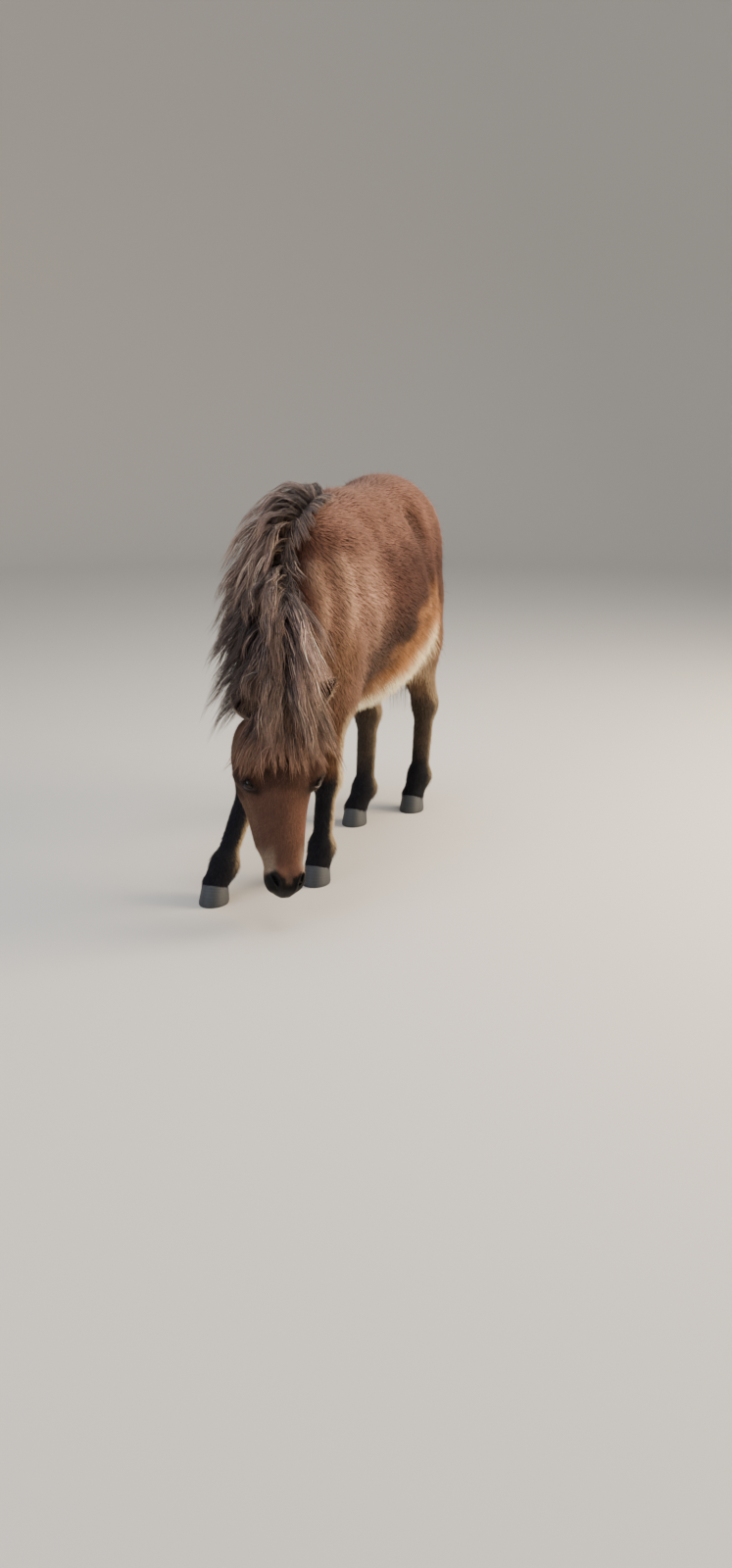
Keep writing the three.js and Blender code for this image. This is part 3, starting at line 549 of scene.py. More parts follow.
def skinField(points, detail=True):
    # distance to the bare skin, on request with its small forms and the balls of the lids
    total, shares = flesh(points), groupShares(points)
    field = total + depthOfCoat(points, shares)
    if not detail:
        return field
    sunk = sum(height * onLines(points, kind) for kind, height in lineHeights.items())
    field = field + sunk * (shares["torso"] + shares["neck"]) - headDetail(points, shares)
    for s in (1, -1):
        near = np.sum((points - eyeCenter(s)) ** 2, axis=1) < 60 ** 2
        ball = np.linalg.norm(points[near] - eyeCenter(s), axis=1) - skinSet["lidBall"]
        field[near] = blended(field[near], ball, skinSet["lidBlend"])
    return field


def settleOnSkin(points, edges, detail, turns):
    for turn in range(turns):
        gradient = slope(lambda p: skinField(p, detail), points)
        size = np.maximum(np.sum(gradient ** 2, axis=1), flattest)
        step = -gradient * (skinField(points, detail) / size)[:, None]
        length = np.linalg.norm(step, axis=1, keepdims=True)
        points = points + step * np.minimum(1, skinSet["longestStep"] / np.maximum(length, 1e-6))
        if turn < 2 and not detail:
            points = relaxed(points, edges, 3)
    return points


def sinkEyes(points):
    # inside the lids' opening the skin drops behind the eyeball
    for s in (1, -1):
        ring, height = almond(points, s)
        inside = (ring < 1) & (height > 0)
        q = points[inside] - eyeCenter(s)
        points[inside] = eyeCenter(s) + unit(q) * (eyeSet["radius"] - eyeSet["socketGap"])
    return points


# Zones that get finer in turn, in the head's frame: the head, then muzzle and eyes twice
headZones = [
    lambda left, front, down: (down > 20) & (left < 120) & (front > -190),
    lambda left, front, down: (down > 335) | (np.abs(down - 196) < 44) & (front > -80) & (left > 36),
    lambda left, front, down: ((down > 372) & (front > -62)
                               | (np.abs(down - 196) < 26) & (front > -62) & (left > 52)),
]


def refineHead(skin, within):
    points = places(skin.data)
    q = inHead(points)
    chosen = within(np.abs(q[:, 0]), q[:, 1], q[:, 2]) & (groupShares(points)["head"] > 0.35)
    loops = arrayOf(skin.data.loops, "vertex_index", 1, np.int32)
    starts = arrayOf(skin.data.polygons, "loop_start", 1, np.int32)
    whole = np.minimum.reduceat(chosen[loops].astype(np.int8), starts).astype(bool)
    choose(skin)
    bpy.ops.object.mode_set(mode="EDIT")
    bpy.ops.mesh.select_mode(type="FACE")
    bpy.ops.mesh.select_all(action="DESELECT")
    bpy.ops.object.mode_set(mode="OBJECT")
    skin.data.polygons.foreach_set("select", whole)
    bpy.ops.object.mode_set(mode="EDIT")
    bpy.ops.mesh.subdivide(number_cuts=1)
    bpy.ops.object.mode_set(mode="OBJECT")


def unwrap(piece, margin):
    # faces turned outwards and an unwrap for baking
    choose(piece)
    bpy.ops.object.mode_set(mode="EDIT")
    bpy.ops.mesh.select_all(action="SELECT")
    bpy.ops.mesh.normals_make_consistent(inside=False)
    bpy.ops.uv.smart_project(angle_limit=math.radians(66), island_margin=margin)
    bpy.ops.object.mode_set(mode="OBJECT")
    piece.data.uv_layers[0].name = "OFBake"


def addSkin():
    made = [part for forms in fleshGroups.values() for form in forms for part in addForm(form)]
    skin = joinedPiece(made, "skin")
    remesh = skin.modifiers.new("one skin", "REMESH")
    remesh.mode = "VOXEL"
    remesh.voxel_size = skinSet["voxel"]
    choose(skin)
    bpy.ops.object.modifier_apply(modifier=remesh.name)
    edges = edgesOf(skin.data)
    setPlaces(skin.data, settleOnSkin(places(skin.data), edges, False, skinSet["settleTurns"]))
    unwrap(skin, 0.002)
    for within in headZones:
        refineHead(skin, within)
    points = settleOnSkin(places(skin.data), edgesOf(skin.data), True, 3)
    setPlaces(skin.data, sinkEyes(points))
    print("skin made,", len(skin.data.vertices), "points")
    return skin


# Coat colours, most as they look in even light; some are painted sheen, highlights, warm glow and shadow
coatColours = {
    "back": "#876255", "side": "#482922", "sideLowShade": "#2f1914", "shoulderSheen": "#a27d6e", "belly": "#ffe9c4",
    "goldGlow": "#cb9160", "neck": "#5a382f", "neckLowLight": "#b28f79", "ridgeHighlight": "#e0b89f", "foldShade": "#2e1c17",
    "face": "#6e4f43", "faceWarmLight": "#7f594a", "browDarkAndShadow": "#4a332b", "cheek": "#7c5f4e", "eyePatch": "#241b1a",
    "muzzle": "#0f0e11", "nosePale": "#a08c7a", "noseBrown": "#6a5349", "legBlack": "#21222b",
    "legBrown": "#50463f", "legRimLight": "#e3cba6", "gaskin": "#84664f", "forearm": "#7d5a41",
}


def painted(base, layers):
    # a named colour with others laid over it, each by its own amount
    colour = linear(coatColours[base])
    for name, amount in layers:
        colour = colour + (linear(coatColours[name]) - colour) * np.clip(amount, 0, 1)[:, None]
    return colour


def undersideOf(points, normals):
    # how far a place is turned under the body; the line of the belly rises towards the flank
    y = points[:, 1]
    return -normals[:, 2] + 0.0022 * (np.clip(y, -330, 120) + 174) - 0.9 * ramp(190, 290, y)


def faceColour(points, mottle):
    q = inHead(points)
    left, front, down = np.abs(q[:, 0]), q[:, 1], q[:, 2]
    eyes = np.minimum(almond(points, 1)[0], almond(points, -1)[0])
    return painted("face", [
        # warmer and lighter on the head's left, lit side: painted light
        ("faceWarmLight", ramp(-5, 35, q[:, 0]) * ramp(190, 260, down) * 0.9),
        ("cheek", ramp(-40, -75, front) * 0.8),
        # darker across the brow: dark hair and the forelock's painted shadow
        ("browDarkAndShadow", 0.8 * ramp(90, 140, down) * ramp(236, 200, down + 6 * mottle)),
        ("eyePatch", 0.85 * ramp(2.5, 1.3, eyes + 0.15 * mottle)),
        ("nosePale", ramp(20, 36, left) * ramp(322, 356, down) * ramp(410, 388, down) * 0.8),
        ("muzzle", ramp(395, 408, down + 4 * mottle + 9 * ramp(14, 32, left))),
        ("noseBrown", 0.8 * ramp(11, 4, left) * ramp(422, 408, down) * ramp(388, 396, down)),
    ])


def legColour(joint, points, mottle):
    x, y, z = points.T
    bend = joint.get("knee") or joint["hock"]
    heights = [0, joint["fetlock"][2], bend[2], 420]
    line = np.array([joint["hoof"], joint["fetlock"], bend, joint["top"]])
    middleX, middleY = (np.interp(z, heights, line[:, i]) for i in (0, 1))
    # the edge of each leg turned back towards the light behind, painted there with rim light
    backEdge = ramp(-2, 11, (y - middleY) * 0.85 + (x - middleX) * 0.52)
    backEdge = backEdge * ramp(60, 130, z) * ramp(450, 400, z)
    if "knee" in joint:
        return painted("legBlack", [
            ("forearm", ramp(246, 330, z + 14 * mottle)),
            ("legRimLight", 0.95 * backEdge),
        ])
    return painted("legBrown", [
        ("gaskin", ramp(300, 410, z)),
        ("legBlack", ramp(215, 120, z + 8 * mottle)),
        ("legRimLight", 0.35 * backEdge),
    ])


def coatColour(points, normals, shares):
    y, z = points[:, 1], points[:, 2]
    broad, mottle = waves(points, 260, 3), waves(points, 60, 4)
    # painted highlight along the ridges and painted shade in the groove
    lines = [("ridgeHighlight", 0.45 * onLines(points, "ridgeHighlight")), ("foldShade", 0.5 * onLines(points, "groove"))]
    # greyer and lighter along the back (painted sheen), painted warm glow low on the flanks, cream below
    under = undersideOf(points, normals)
    torso = painted("side", [
        # darker low on the barrel: painted shade
        ("sideLowShade", ramp(690, 570, z) * ramp(190, 60, y)),
        # greyer on top of the back, and lighter there as painted sheen
        ("back", ramp(715, 860, z + 14 * mottle) * 0.8),
        # lighter over the shoulder and front of the barrel: painted sheen
        ("shoulderSheen", ramp(-120, -260, y) * ramp(820, 740, z)
         * (0.15 + 0.65 * np.maximum(ramp(560, 680, z), ramp(-230, -300, y)))),
        # painted warm glow on the lower flanks, where they turn under
        ("goldGlow", 0.8 * ramp(0.22, 0.66, under + 0.06 * mottle + 0.12 * ramp(-60, 110, y)) * ramp(-290, -60, y)
         * ramp(290, 110, y) * ramp(720, 590, z)),
        # the pale belly, brightened further as a painted glow of light from behind
        ("belly", ramp(0.6, 0.86, under + 0.05 * mottle) * ramp(-330, -270, y) * ramp(600, 545, z)),
        # painted shade in the hollow before the hip
        ("foldShade", 0.85 * onLines(points, "hip")),
    ] + lines)
    neck = painted("neck", [
        # lighter low on the neck: painted light
        ("neckLowLight", ramp(620, 480, z)),
        # greyer near the withers, and lighter there as painted sheen
        ("back", 0.5 * ramp(-380, -250, y) * ramp(680, 800, z)),
    ] + lines)
    colour = (torso * shares["torso"][:, None] + neck * shares["neck"][:, None]
              + faceColour(points, mottle) * shares["head"][:, None])
    for name, joint in legJoints.items():
        colour += legColour(joint, points, mottle) * shares[name][:, None]
    value = 1 + 0.07 * broad * (1 - shares["head"]) + 0.05 * mottle
    return np.clip(colour * value[:, None], 0.002, 1)


def addTint(mesh, colours):
    layer = mesh.color_attributes.new(name="tint", type="FLOAT_COLOR", domain="POINT")
    rgba = np.ones((len(colours), 4), np.float32)
    rgba[:, :3] = colours
    layer.data.foreach_set("color", rgba.ravel())


def addBare(mesh, values):
    layer = mesh.attributes.new(name="bare", type="FLOAT", domain="POINT")
    layer.data.foreach_set("value", np.asarray(values, np.float32))


def surfaceOf(piece):
    # arrays of a mesh for growing hair on it
    mesh = piece.data
    mesh.calc_loop_triangles()
    points = places(mesh)
    corners = arrayOf(mesh.loop_triangles, "vertices", 3, np.int32)
    loops = arrayOf(mesh.loop_triangles, "loops", 3, np.int32)
    a, b, c = (points[corners[:, i]] for i in range(3))
    return {"points": points, "normals": arrayOf(mesh.vertex_normals, "vector", 3).astype(float),
            "corners": corners, "area": np.linalg.norm(np.cross(b - a, c - a), axis=1) / 2,
            "uv": arrayOf(mesh.uv_layers["OFBake"].data, "uv", 2)[loops]}


def rootsOn(surface, density, seed):
    # roots spread evenly by area and density: places, normals, bake places and a way to carry values there
    random = np.random.default_rng(seed)
    weight = surface["area"] * density[surface["corners"]].mean(axis=1)
    total = np.cumsum(weight)
    count = int(total[-1])
    marks = (np.arange(count) + random.random(count)) * total[-1] / count
    face = np.minimum(np.searchsorted(total, marks), len(weight) - 1)
    u, v = random.random(count), random.random(count)
    over = u + v > 1
    u, v = np.where(over, 1 - u, u), np.where(over, 1 - v, v)
    shares = np.stack([1 - u - v, u, v], axis=1)
    corners = surface["corners"][face]

    def carried(values):
        return np.einsum("nk,nk...->n...", shares, np.asarray(values)[corners])

    bake = np.einsum("nk,nkc->nc", shares, surface["uv"][face])
    return carried(surface["points"]), unit(carried(surface["normals"])), bake, carried, random


def hairFaces(steps):
    # faces of one hair with a three-sided ring at each step and a point at its end
    last = 3 * (steps - 2)
    faces = [(0, 2, 1)]
    for i in range(0, last, 3):
        faces += [(i + j, i + (j + 1) % 3, i + 3 + (j + 1) % 3, i + 3 + j) for j in range(3)]
    return faces + [(last + j, last + (j + 1) % 3, last + 3) for j in range(3)]


# Hair meshes: most triangles in a piece, and the side of a tuft's patch on the skin's unwrap
hairSet = {"pieceLimit": 185000, "bakePatch": 0.003}
# Each kind of hair draws its chances from a seed of its own
seeds = {"fur": 5, "guard_hair": 8, "fringe": 61, "lashes": 77, "ears": 41, "mane": 11, "forelock": 5,
         "dock": 19, "tail": 23}


def addHairs(name, paths, widths, outs, colours, bake, flatness, material):
    # one mesh of closed tapered hairs
    count, steps = paths.shape[:2]
    ahead = np.gradient(paths, axis=1)
    side = unit(np.cross(ahead, outs[:, None, :]))
    lift = unit(np.cross(side, ahead))
    half = widths[:, :-1, None] / 2
    p, s, o = paths[:, :-1], side[:, :-1] * half, lift[:, :-1] * half * flatness
    rings = np.stack([p + o, p + s, p - s], axis=2).reshape(count, -1, 3)
    vertices = np.concatenate([rings, paths[:, -1:]], axis=1)
    each = vertices.shape[1]
    faces = hairFaces(steps)
    loops = np.array([i for face in faces for i in face])
    starts = np.cumsum([0] + [len(face) for face in faces[:-1]])
    turns = np.arange(count)[:, None]
    mesh = bpy.data.meshes.new(name)
    mesh.vertices.add(count * each)
    mesh.vertices.foreach_set("co", toFrame(vertices.reshape(-1, 3)).astype(np.float32).ravel())
    mesh.loops.add(count * len(loops))
    mesh.loops.foreach_set("vertex_index", (loops + turns * each).astype(np.int32).ravel())
    mesh.polygons.add(count * len(faces))
    mesh.polygons.foreach_set("loop_start", (starts + turns * len(loops)).astype(np.int32).ravel())
    mesh.update(calc_edges=True)
    ringOf = np.append(np.repeat(np.arange(steps - 1), 3), steps - 1)
    cornerOf = np.append(np.tile(np.arange(3), steps - 1), 1)
    addTint(mesh, colours[:, ringOf].reshape(-1, 3))
    lie = mesh.attributes.new(name="coatNormal", type="FLOAT_VECTOR", domain="POINT")
    lie.data.foreach_set("vector", np.repeat(outs, each, axis=0).astype(np.float32).ravel())
    patch = np.stack([cornerOf / 2 - 0.5, ringOf / (steps - 1) - 0.5], axis=1) * hairSet["bakePatch"]
    uv = mesh.uv_layers.new(name="OFBake")
    uv.data.foreach_set("uv", np.clip(bake[:, None] + patch[loops], 0, 1).astype(np.float32).ravel())
    mesh.materials.append(material)
    piece = linked(name, mesh)
    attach(piece, "root")


def addHairPieces(name, paths, widths, outs, colours, bake, material, slot, flatness=0.5):
    # a long list of hairs as pieces that each stay under the limit. paths: hairs x steps x 3, widths: hairs x
    # steps, colours: hairs x steps x 3, one direction out of the coat and one bake place for each hair
    count, steps = paths.shape[:2]
    triangles = 1 + 6 * (steps - 2) + 3
    number = max(1, math.ceil(count / (hairSet["pieceLimit"] // triangles)))
    cuts = np.linspace(0, count, number + 1).astype(int)
    for k in range(number):
        part = slice(cuts[k], cuts[k + 1])
        addHairs(f"{name}_{k + 1}", paths[part], widths[part], outs[part], colours[part], bake[part],
                 flatness, material)
    print(name, count, "hairs,", count * triangles, "triangles")


def addNode(material, kind, settings=None, links=None):
    # a node with its settings by name, and links into it from (node, output name)
    node = material.node_tree.nodes.new(kind)
    for name, value in (settings or {}).items():
        if isinstance(name, str) and hasattr(node, name):
            setattr(node, name, value)
        else:
            node.inputs[name].default_value = value
    for name, (source, output) in (links or {}).items():
        material.node_tree.links.new(source.outputs[output], node.inputs[name])
    return node


def feed(material, shader, name, source, output):
    material.node_tree.links.new(source.outputs[output], shader.inputs[name])


def newMaterial(name, roughness, specular, sheen=0.0, colour=None):
    # one colour all over, or else the mesh's own tint
    material = bpy.data.materials.new(name)
    material.use_nodes = True
    shader = material.node_tree.nodes["Principled BSDF"]
    shader.inputs["Roughness"].default_value = roughness
    shader.inputs["Specular IOR Level"].default_value = specular
    shader.inputs["Sheen Weight"].default_value = sheen
    if colour:
        shader.inputs["Base Color"].default_value = (*linear(colour), 1)
    else:
        tint = addNode(material, "ShaderNodeAttribute", {"attribute_name": "tint"})
        feed(material, shader, "Base Color", tint, "Color")
    return material, shader


def addGrain(material, shader, scale, detail, strength, distance):
    coordinates = addNode(material, "ShaderNodeTexCoord")
    grain = addNode(material, "ShaderNodeTexNoise", {"Scale": scale, "Detail": detail},
                    {"Vector": (coordinates, "Object")})
    bump = addNode(material, "ShaderNodeBump", {"Strength": strength, "Distance": distance},
                   {"Height": (grain, "Fac")})
    feed(material, shader, "Normal", bump, "Normal")


def coatMaterial(name, roughness, specular, sheen, softness):
    # hair: light falls on the coat as a whole more than on each strand
    material, shader = newMaterial(name, roughness, specular, sheen)
    lie = addNode(material, "ShaderNodeAttribute", {"attribute_name": "coatNormal"})
    own = addNode(material, "ShaderNodeNewGeometry")
    scaled = addNode(material, "ShaderNodeVectorMath", {"operation": "SCALE", "Scale": softness},
                     {0: (lie, "Vector")})
    summed = addNode(material, "ShaderNodeVectorMath", {"operation": "ADD"},
                     {0: (own, "Normal"), 1: (scaled, "Vector")})
    straight = addNode(material, "ShaderNodeVectorMath", {"operation": "NORMALIZE"}, {0: (summed, "Vector")})
    feed(material, shader, "Normal", straight, "Vector")
    return material


# The coat looks soft and dull, with a faint bloom at its edges; long hair has a dull gloss along the strands
furMaterial = coatMaterial("plush coat", 0.8, 0.15, 0.12, 3.0)
maneMaterial = coatMaterial("long hair", 0.5, 0.3, 0.1, 0.8)


def skinMaterialOf():
    # matt under the fur, leathery and a little moist on the muzzle
    material, shader = newMaterial("leathery skin", 0.8, 0.18)
    bare = addNode(material, "ShaderNodeAttribute", {"attribute_name": "bare"})
    rough = addNode(material, "ShaderNodeMapRange", {"To Min": 0.85, "To Max": 0.58},
                    {"Value": (bare, "Fac")})
    feed(material, shader, "Roughness", rough, "Result")
    addGrain(material, shader, 900, 3, 0.4, 0.0006)
    return material


def barenessOf(points, shares):
    # 1 on the leather of nostrils and lips and on the eyelids, 0 where fur grows
    q = inHead(points)
    front, down = q[:, 1], q[:, 2]
    bare = np.maximum(ramp(2.1, 1.4, nostrilRing(q)) * ramp(-60, -40, front), ramp(424, 434, down))
    bare = np.maximum(bare, ramp(6, 2.5, mouthLine(q)) * ramp(352, 366, down) * ramp(-20, -60, front))
    for s in (1, -1):
        ring, height = almond(points, s)
        bare = np.maximum(bare, ramp(1.5, 1.2, ring) * (height > 0))
    return np.clip(bare, 0, 1) * (shares["head"] > 0.3)


skin = addSkin()
skinSurface = surfaceOf(skin)
skinShares = groupShares(skinSurface["points"])
bareness = barenessOf(skinSurface["points"], skinShares)


def finishSkin():
    mesh, points = skin.data, skinSurface["points"]
    q = inHead(points)
    colours = coatColour(points, skinSurface["normals"], skinShares) * (0.55 + 0.35 * bareness)[:, None]
    # darker inside the nostrils: painted shade in the holes
    inNostril = ramp(1.1, 0.6, nostrilRing(q)) * skinShares["head"] * ramp(-60, -40, q[:, 1])
    addTint(mesh, colours * (1 - 0.7 * inNostril)[:, None])
    addBare(mesh, bareness)
    mesh.materials.append(skinMaterialOf())
    choose(skin)
    bpy.ops.object.shade_smooth()
    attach(skin, "root")
    fleshy = ("torso", "neck", "head", "foreleg", "hindleg")
    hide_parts(*[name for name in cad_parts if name.split("_")[0] in fleshy])


finishSkin()
print("skin coloured")

# Fur: length, width and rise of the tufts on each part, and how many grow on a square millimetre; then the
# size of the clumps, how far their tips draw together, and how far the lie of the coat wanders
furSet = {
    "torso": {"length": 22, "width": 2.8, "rise": 12, "density": 0.075},
    "neck": {"length": 22, "width": 2.7, "rise": 13, "density": 0.078},
    "legTop": {"length": 17, "width": 2.3, "rise": 15, "density": 0.092},
    "legLow": {"length": 10, "width": 1.9, "rise": 14, "density": 0.138},
    "head": {"length": 8, "width": 1.5, "rise": 13, "density": 0.178},
    "muzzle": {"length": 4.5, "width": 1.1, "rise": 14, "density": 0.22},
    "clump": 7, "gather": 0.04, "swirl": 6, "bellyRise": 12,
}
# Guard hairs, as shares of the tufts they stand among
guardSet = {"length": 1.3, "width": 0.5, "rise": 1.9, "density": 0.07}


def furValues(points, shares, key):
    low = lowOnLeg(points)
    nose = ramp(330, 385, (points - poll) @ headDown)
    head = furSet["head"][key] * (1 - nose) + furSet["muzzle"][key] * nose
    leg = furSet["legTop"][key] * (1 - low) + furSet["legLow"][key] * low
    return (furSet["torso"][key] * shares["torso"] + furSet["neck"][key] * shares["neck"]
            + head * shares["head"] + leg * legShare(shares))


def flattened(way, normals):
    # the part of a direction that runs along the skin
    return unit(way - normals * np.sum(way * normals, axis=1, keepdims=True))


def turned(way, around, angle):
    return way * np.cos(angle)[:, None] + np.cross(around, way) * np.sin(angle)[:, None]


def furLie(points, normals, shares):
    # the way the hair points: back and down on the body, down on the legs, outwards from the face's middle
    q = inHead(points)
    lips = ramp(330, 400, q[:, 2])[:, None]
    face = headDown * 0.9 + headLeft * (0.004 * q[:, :1]) - headFront * 0.3
    muzzle = headDown * 0.8 + headLeft * 0.02 * q[:, :1]
    way = shares["torso"][:, None] * np.array([0, 0.8, -0.62])
    way = way + shares["neck"][:, None] * np.array([0, 0.35, -0.9])
    way = way + legShare(shares)[:, None] * np.array([0, 0.15, -1])
    way = way + shares["head"][:, None] * (face * (1 - lips) + lips * muzzle)
    way = flattened(way, normals)
    return turned(way, normals, np.radians(furSet["swirl"]) * waves(points, 90, 21))


def raised(at, lie, out, length, rise):
    # tips of straight hairs that rise from the skin by an angle
    return at + length[:, None] * (lie * np.cos(rise)[:, None] + out * np.sin(rise)[:, None])


def clumped(points, tips, size, amount, random):
    # tips lean towards the middle of the clump that their roots belong to
    wobble = np.stack([waves(points, size * 2.3, 31 + i) for i in range(3)], axis=1) * size * 0.5
    cell = np.floor((points + wobble) / size).astype(np.int64)
    key = cell[:, 0] * 73856093 ^ cell[:, 1] * 19349663 ^ cell[:, 2] * 83492791
    group = np.unique(key, return_inverse=True)[1]
    count = np.bincount(group)
    middle = np.stack([np.bincount(group, tips[:, i]) / count for i in range(3)], axis=1)
    shade = random.normal(0, 1, len(count))
    return tips + (middle[group] - tips) * amount, shade[group]


def shadedHair(colours, random, steps, shade=0, rootShade=0.5, tipLight=1.2, spread=0.16, tipColour=None,
               tipShare=0.0):
    # each hair darker at its root as painted shade, lighter at its tip, and a little different from its
    # neighbours
    own = np.exp(random.normal(0, spread, len(colours)) + 0.07 * shade)
    along = np.linspace(0, 1, steps)
    value = rootShade + (tipLight - rootShade) * along ** 0.75
    tones = np.repeat(colours[:, None], steps, axis=1)
    if tipColour:
        share = (tipShare * ramp(0.35, 1.0, along))[None, :, None]
        tones = tones * (1 - share) + linear(tipColour) * share
    return np.clip(tones * own[:, None, None] * value[None, :, None], 0, 1)


def addTufts(name, at, tips, out, width, colours, bake, slot, sunk=0.8):
    # straight hairs from a little under the skin to their tips
    width = np.broadcast_to(width, len(at))
    addHairPieces(name, np.stack([at - out * sunk, tips], axis=1), np.stack([width, 0 * width], axis=1), out,
                  colours, bake, furMaterial, slot)


def growShortFur(name, weight, scaled):
    density = furValues(skinSurface["points"], skinShares, "density") * weight * scaled["density"]
    at, out, bake, carried, random = rootsOn(skinSurface, density, seeds[name])
    shares = {key: carried(value) for key, value in skinShares.items()}
    length = furValues(at, shares, "length") * scaled["length"] * np.exp(random.normal(0, 0.2, len(at)))
    width = furValues(at, shares, "width") * scaled["width"] * random.uniform(0.75, 1.25, len(at))
    rise = np.radians(furValues(at, shares, "rise") * scaled["rise"] * random.uniform(0.5, 1.6, len(at)))
    rise += np.radians(furSet["bellyRise"]) * shares["torso"] * ramp(-0.35, -0.85, out[:, 2])
    lie = turned(furLie(at, out, shares), out, np.radians(random.normal(0, 8, len(at))))
    tips, shade = clumped(at, raised(at, lie, out, length, rise), furSet["clump"], furSet["gather"], random)
    colours = shadedHair(coatColour(at, out, shares), random, 2, shade, 0.55)
    addTufts(name, at, tips, out, width, colours, bake, "coat")


def growCoat():
    weight = (1 - np.clip(bareness * 1.4, 0, 1)) * ramp(36, 48, skinSurface["points"][:, 2])
    growShortFur("fur", weight, {"length": 1, "width": 1, "rise": 1, "density": 1})
    growShortFur("guard_hair", weight * (1 - legShare(skinShares)), guardSet)


growCoat()

# Fringes: longer bent hairs under the belly, on the chest, behind the legs and over the hooves
fringeSet = {
    "belly": {"length": 46, "density": 0.045},
    "chest": {"length": 26, "density": 0.03},
    "leg": {"length": 22, "density": 0.045},
    "feather": {"length": 24, "density": 0.07},
    "coronet": {"length": 20, "density": 0.16},
    "width": 1.4, "clump": 12, "gather": 0.25,
}


def fringeZones():
    # where each fringe grows, from 0 to 1
    points, normals, shares = skinSurface["points"], skinSurface["normals"], skinShares
    y, z = points[:, 1], points[:, 2]
    legs = legShare(shares)
    behind = ramp(0.1, 0.5, normals @ np.array([0.6, 0.8, 0]))
    return {
        "belly": (shares["torso"] * ramp(0.4, 0.6, undersideOf(points, normals)) * ramp(640, 560, z)
                  * ramp(-330, -270, y)),
        "chest": ((shares["neck"] + shares["torso"]) * ramp(-250, -330, y) * ramp(560, 500, z)
                  * ramp(0.1, -0.4, normals[:, 2])),
        "leg": legs * behind * ramp(110, 150, z) * ramp(440, 380, z),
        "feather": legs * ramp(-0.6, 0.3, normals[:, 1]) * ramp(125, 100, z) * ramp(44, 56, z),
        "coronet": legs * ramp(72, 62, z) * ramp(38, 46, z),
    }


def growFringes():
    zones = fringeZones()
    density = sum(fringeSet[name]["density"] * zone for name, zone in zones.items())
    at, out, bake, carried, random = rootsOn(skinSurface, density, seeds["fringe"])
    share = {name: np.clip(carried(zone), 0, 1) for name, zone in zones.items()}
    whole = np.maximum(sum(share.values()), 1e-6)
    length = sum(part * fringeSet[name]["length"] for name, part in share.items()) / whole
    length = length * random.uniform(0.55, 1.15, len(at))
    shares = {key: carried(value) for key, value in skinShares.items()}
    down = unit(np.array([0, 0.15, -1.0]) + 0.25 * random.normal(0, 1, (len(at), 3)))
    stand = 0.55 - 0.35 * (share["leg"] + share["feather"] + share["coronet"]) / whole
    heading = unit(furLie(at, out, shares) * 0.8 + out * stand[:, None])
    middle = at + heading * (length / 2)[:, None]
    tips = middle + unit(heading * 0.6 + down * 0.4) * (length / 2)[:, None]
    tips, shade = clumped(at, tips, fringeSet["clump"], fringeSet["gather"], random)
    widths = fringeSet["width"] * random.uniform(0.7, 1.2, (len(at), 1)) * np.array([1, 0.75, 0.0])
    colours = shadedHair(coatColour(at, out, shares), random, 3, shade, 0.65)
    addHairPieces("fringe", np.stack([at - out * 0.8, middle, tips], axis=1), widths, out, colours, bake,
                  furMaterial, "coat")


growFringes()


def nearestBake():
    # a way to find the skin's own bake place nearest to each root
    mesh, points = skin.data, skinSurface["points"]
    tree = KDTree(len(points))
    for k, p in enumerate(points):
        tree.insert(p, k)
    tree.balance()
    perVertex = np.zeros((len(points), 2))
    loops = arrayOf(mesh.loops, "vertex_index", 1, np.int32)
    perVertex[loops] = arrayOf(mesh.uv_layers["OFBake"].data, "uv", 2)
    return lambda roots: perVertex[np.array([tree.find(p)[1] for p in roots])]


bakeNear = nearestBake()


def addPiece(name, vertices, faces, material):
    # a closed mesh from points in millimetres
    mesh = bpy.data.meshes.new(name)
    mesh.from_pydata([tuple(v) for v in toFrame(vertices)], [], faces)
    mesh.update()
    piece = linked(name, mesh)
    unwrap(piece, 0.004)
    bpy.ops.object.shade_smooth()
    mesh.materials.append(material)
    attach(piece, "root")
    return piece


def ringFaces(rows, columns, closed=False, capped=False):
    # quads between rings of points; the last ring joins the first where closed, or both get a cap
    faces = []
    for i in range(rows if closed else rows - 1):
        for j in range(columns):
            k, l = (j + 1) % columns, (i + 1) % rows
            faces.append((i * columns + j, i * columns + k, l * columns + k, l * columns + j))
    if capped:
        faces += [tuple(reversed(range(columns))), tuple(range((rows - 1) * columns, rows * columns))]
    return faces


# Eyes: dark balls with a level, oval pupil
eyeColours = {"white": "#2a201c", "iris": "#1d120c", "pupil": "#050608"}
bothEyes = (("left", 1), ("right", -1))


def eyeMaterialOf():
    # wet and nearly black, with a thin clear film that catches the lamps
    material, shader = newMaterial("wet eye", 0.1, 0.12)
    shader.inputs["Coat Weight"].default_value = 0.22
    shader.inputs["Coat Roughness"].default_value = 0.03
    return material


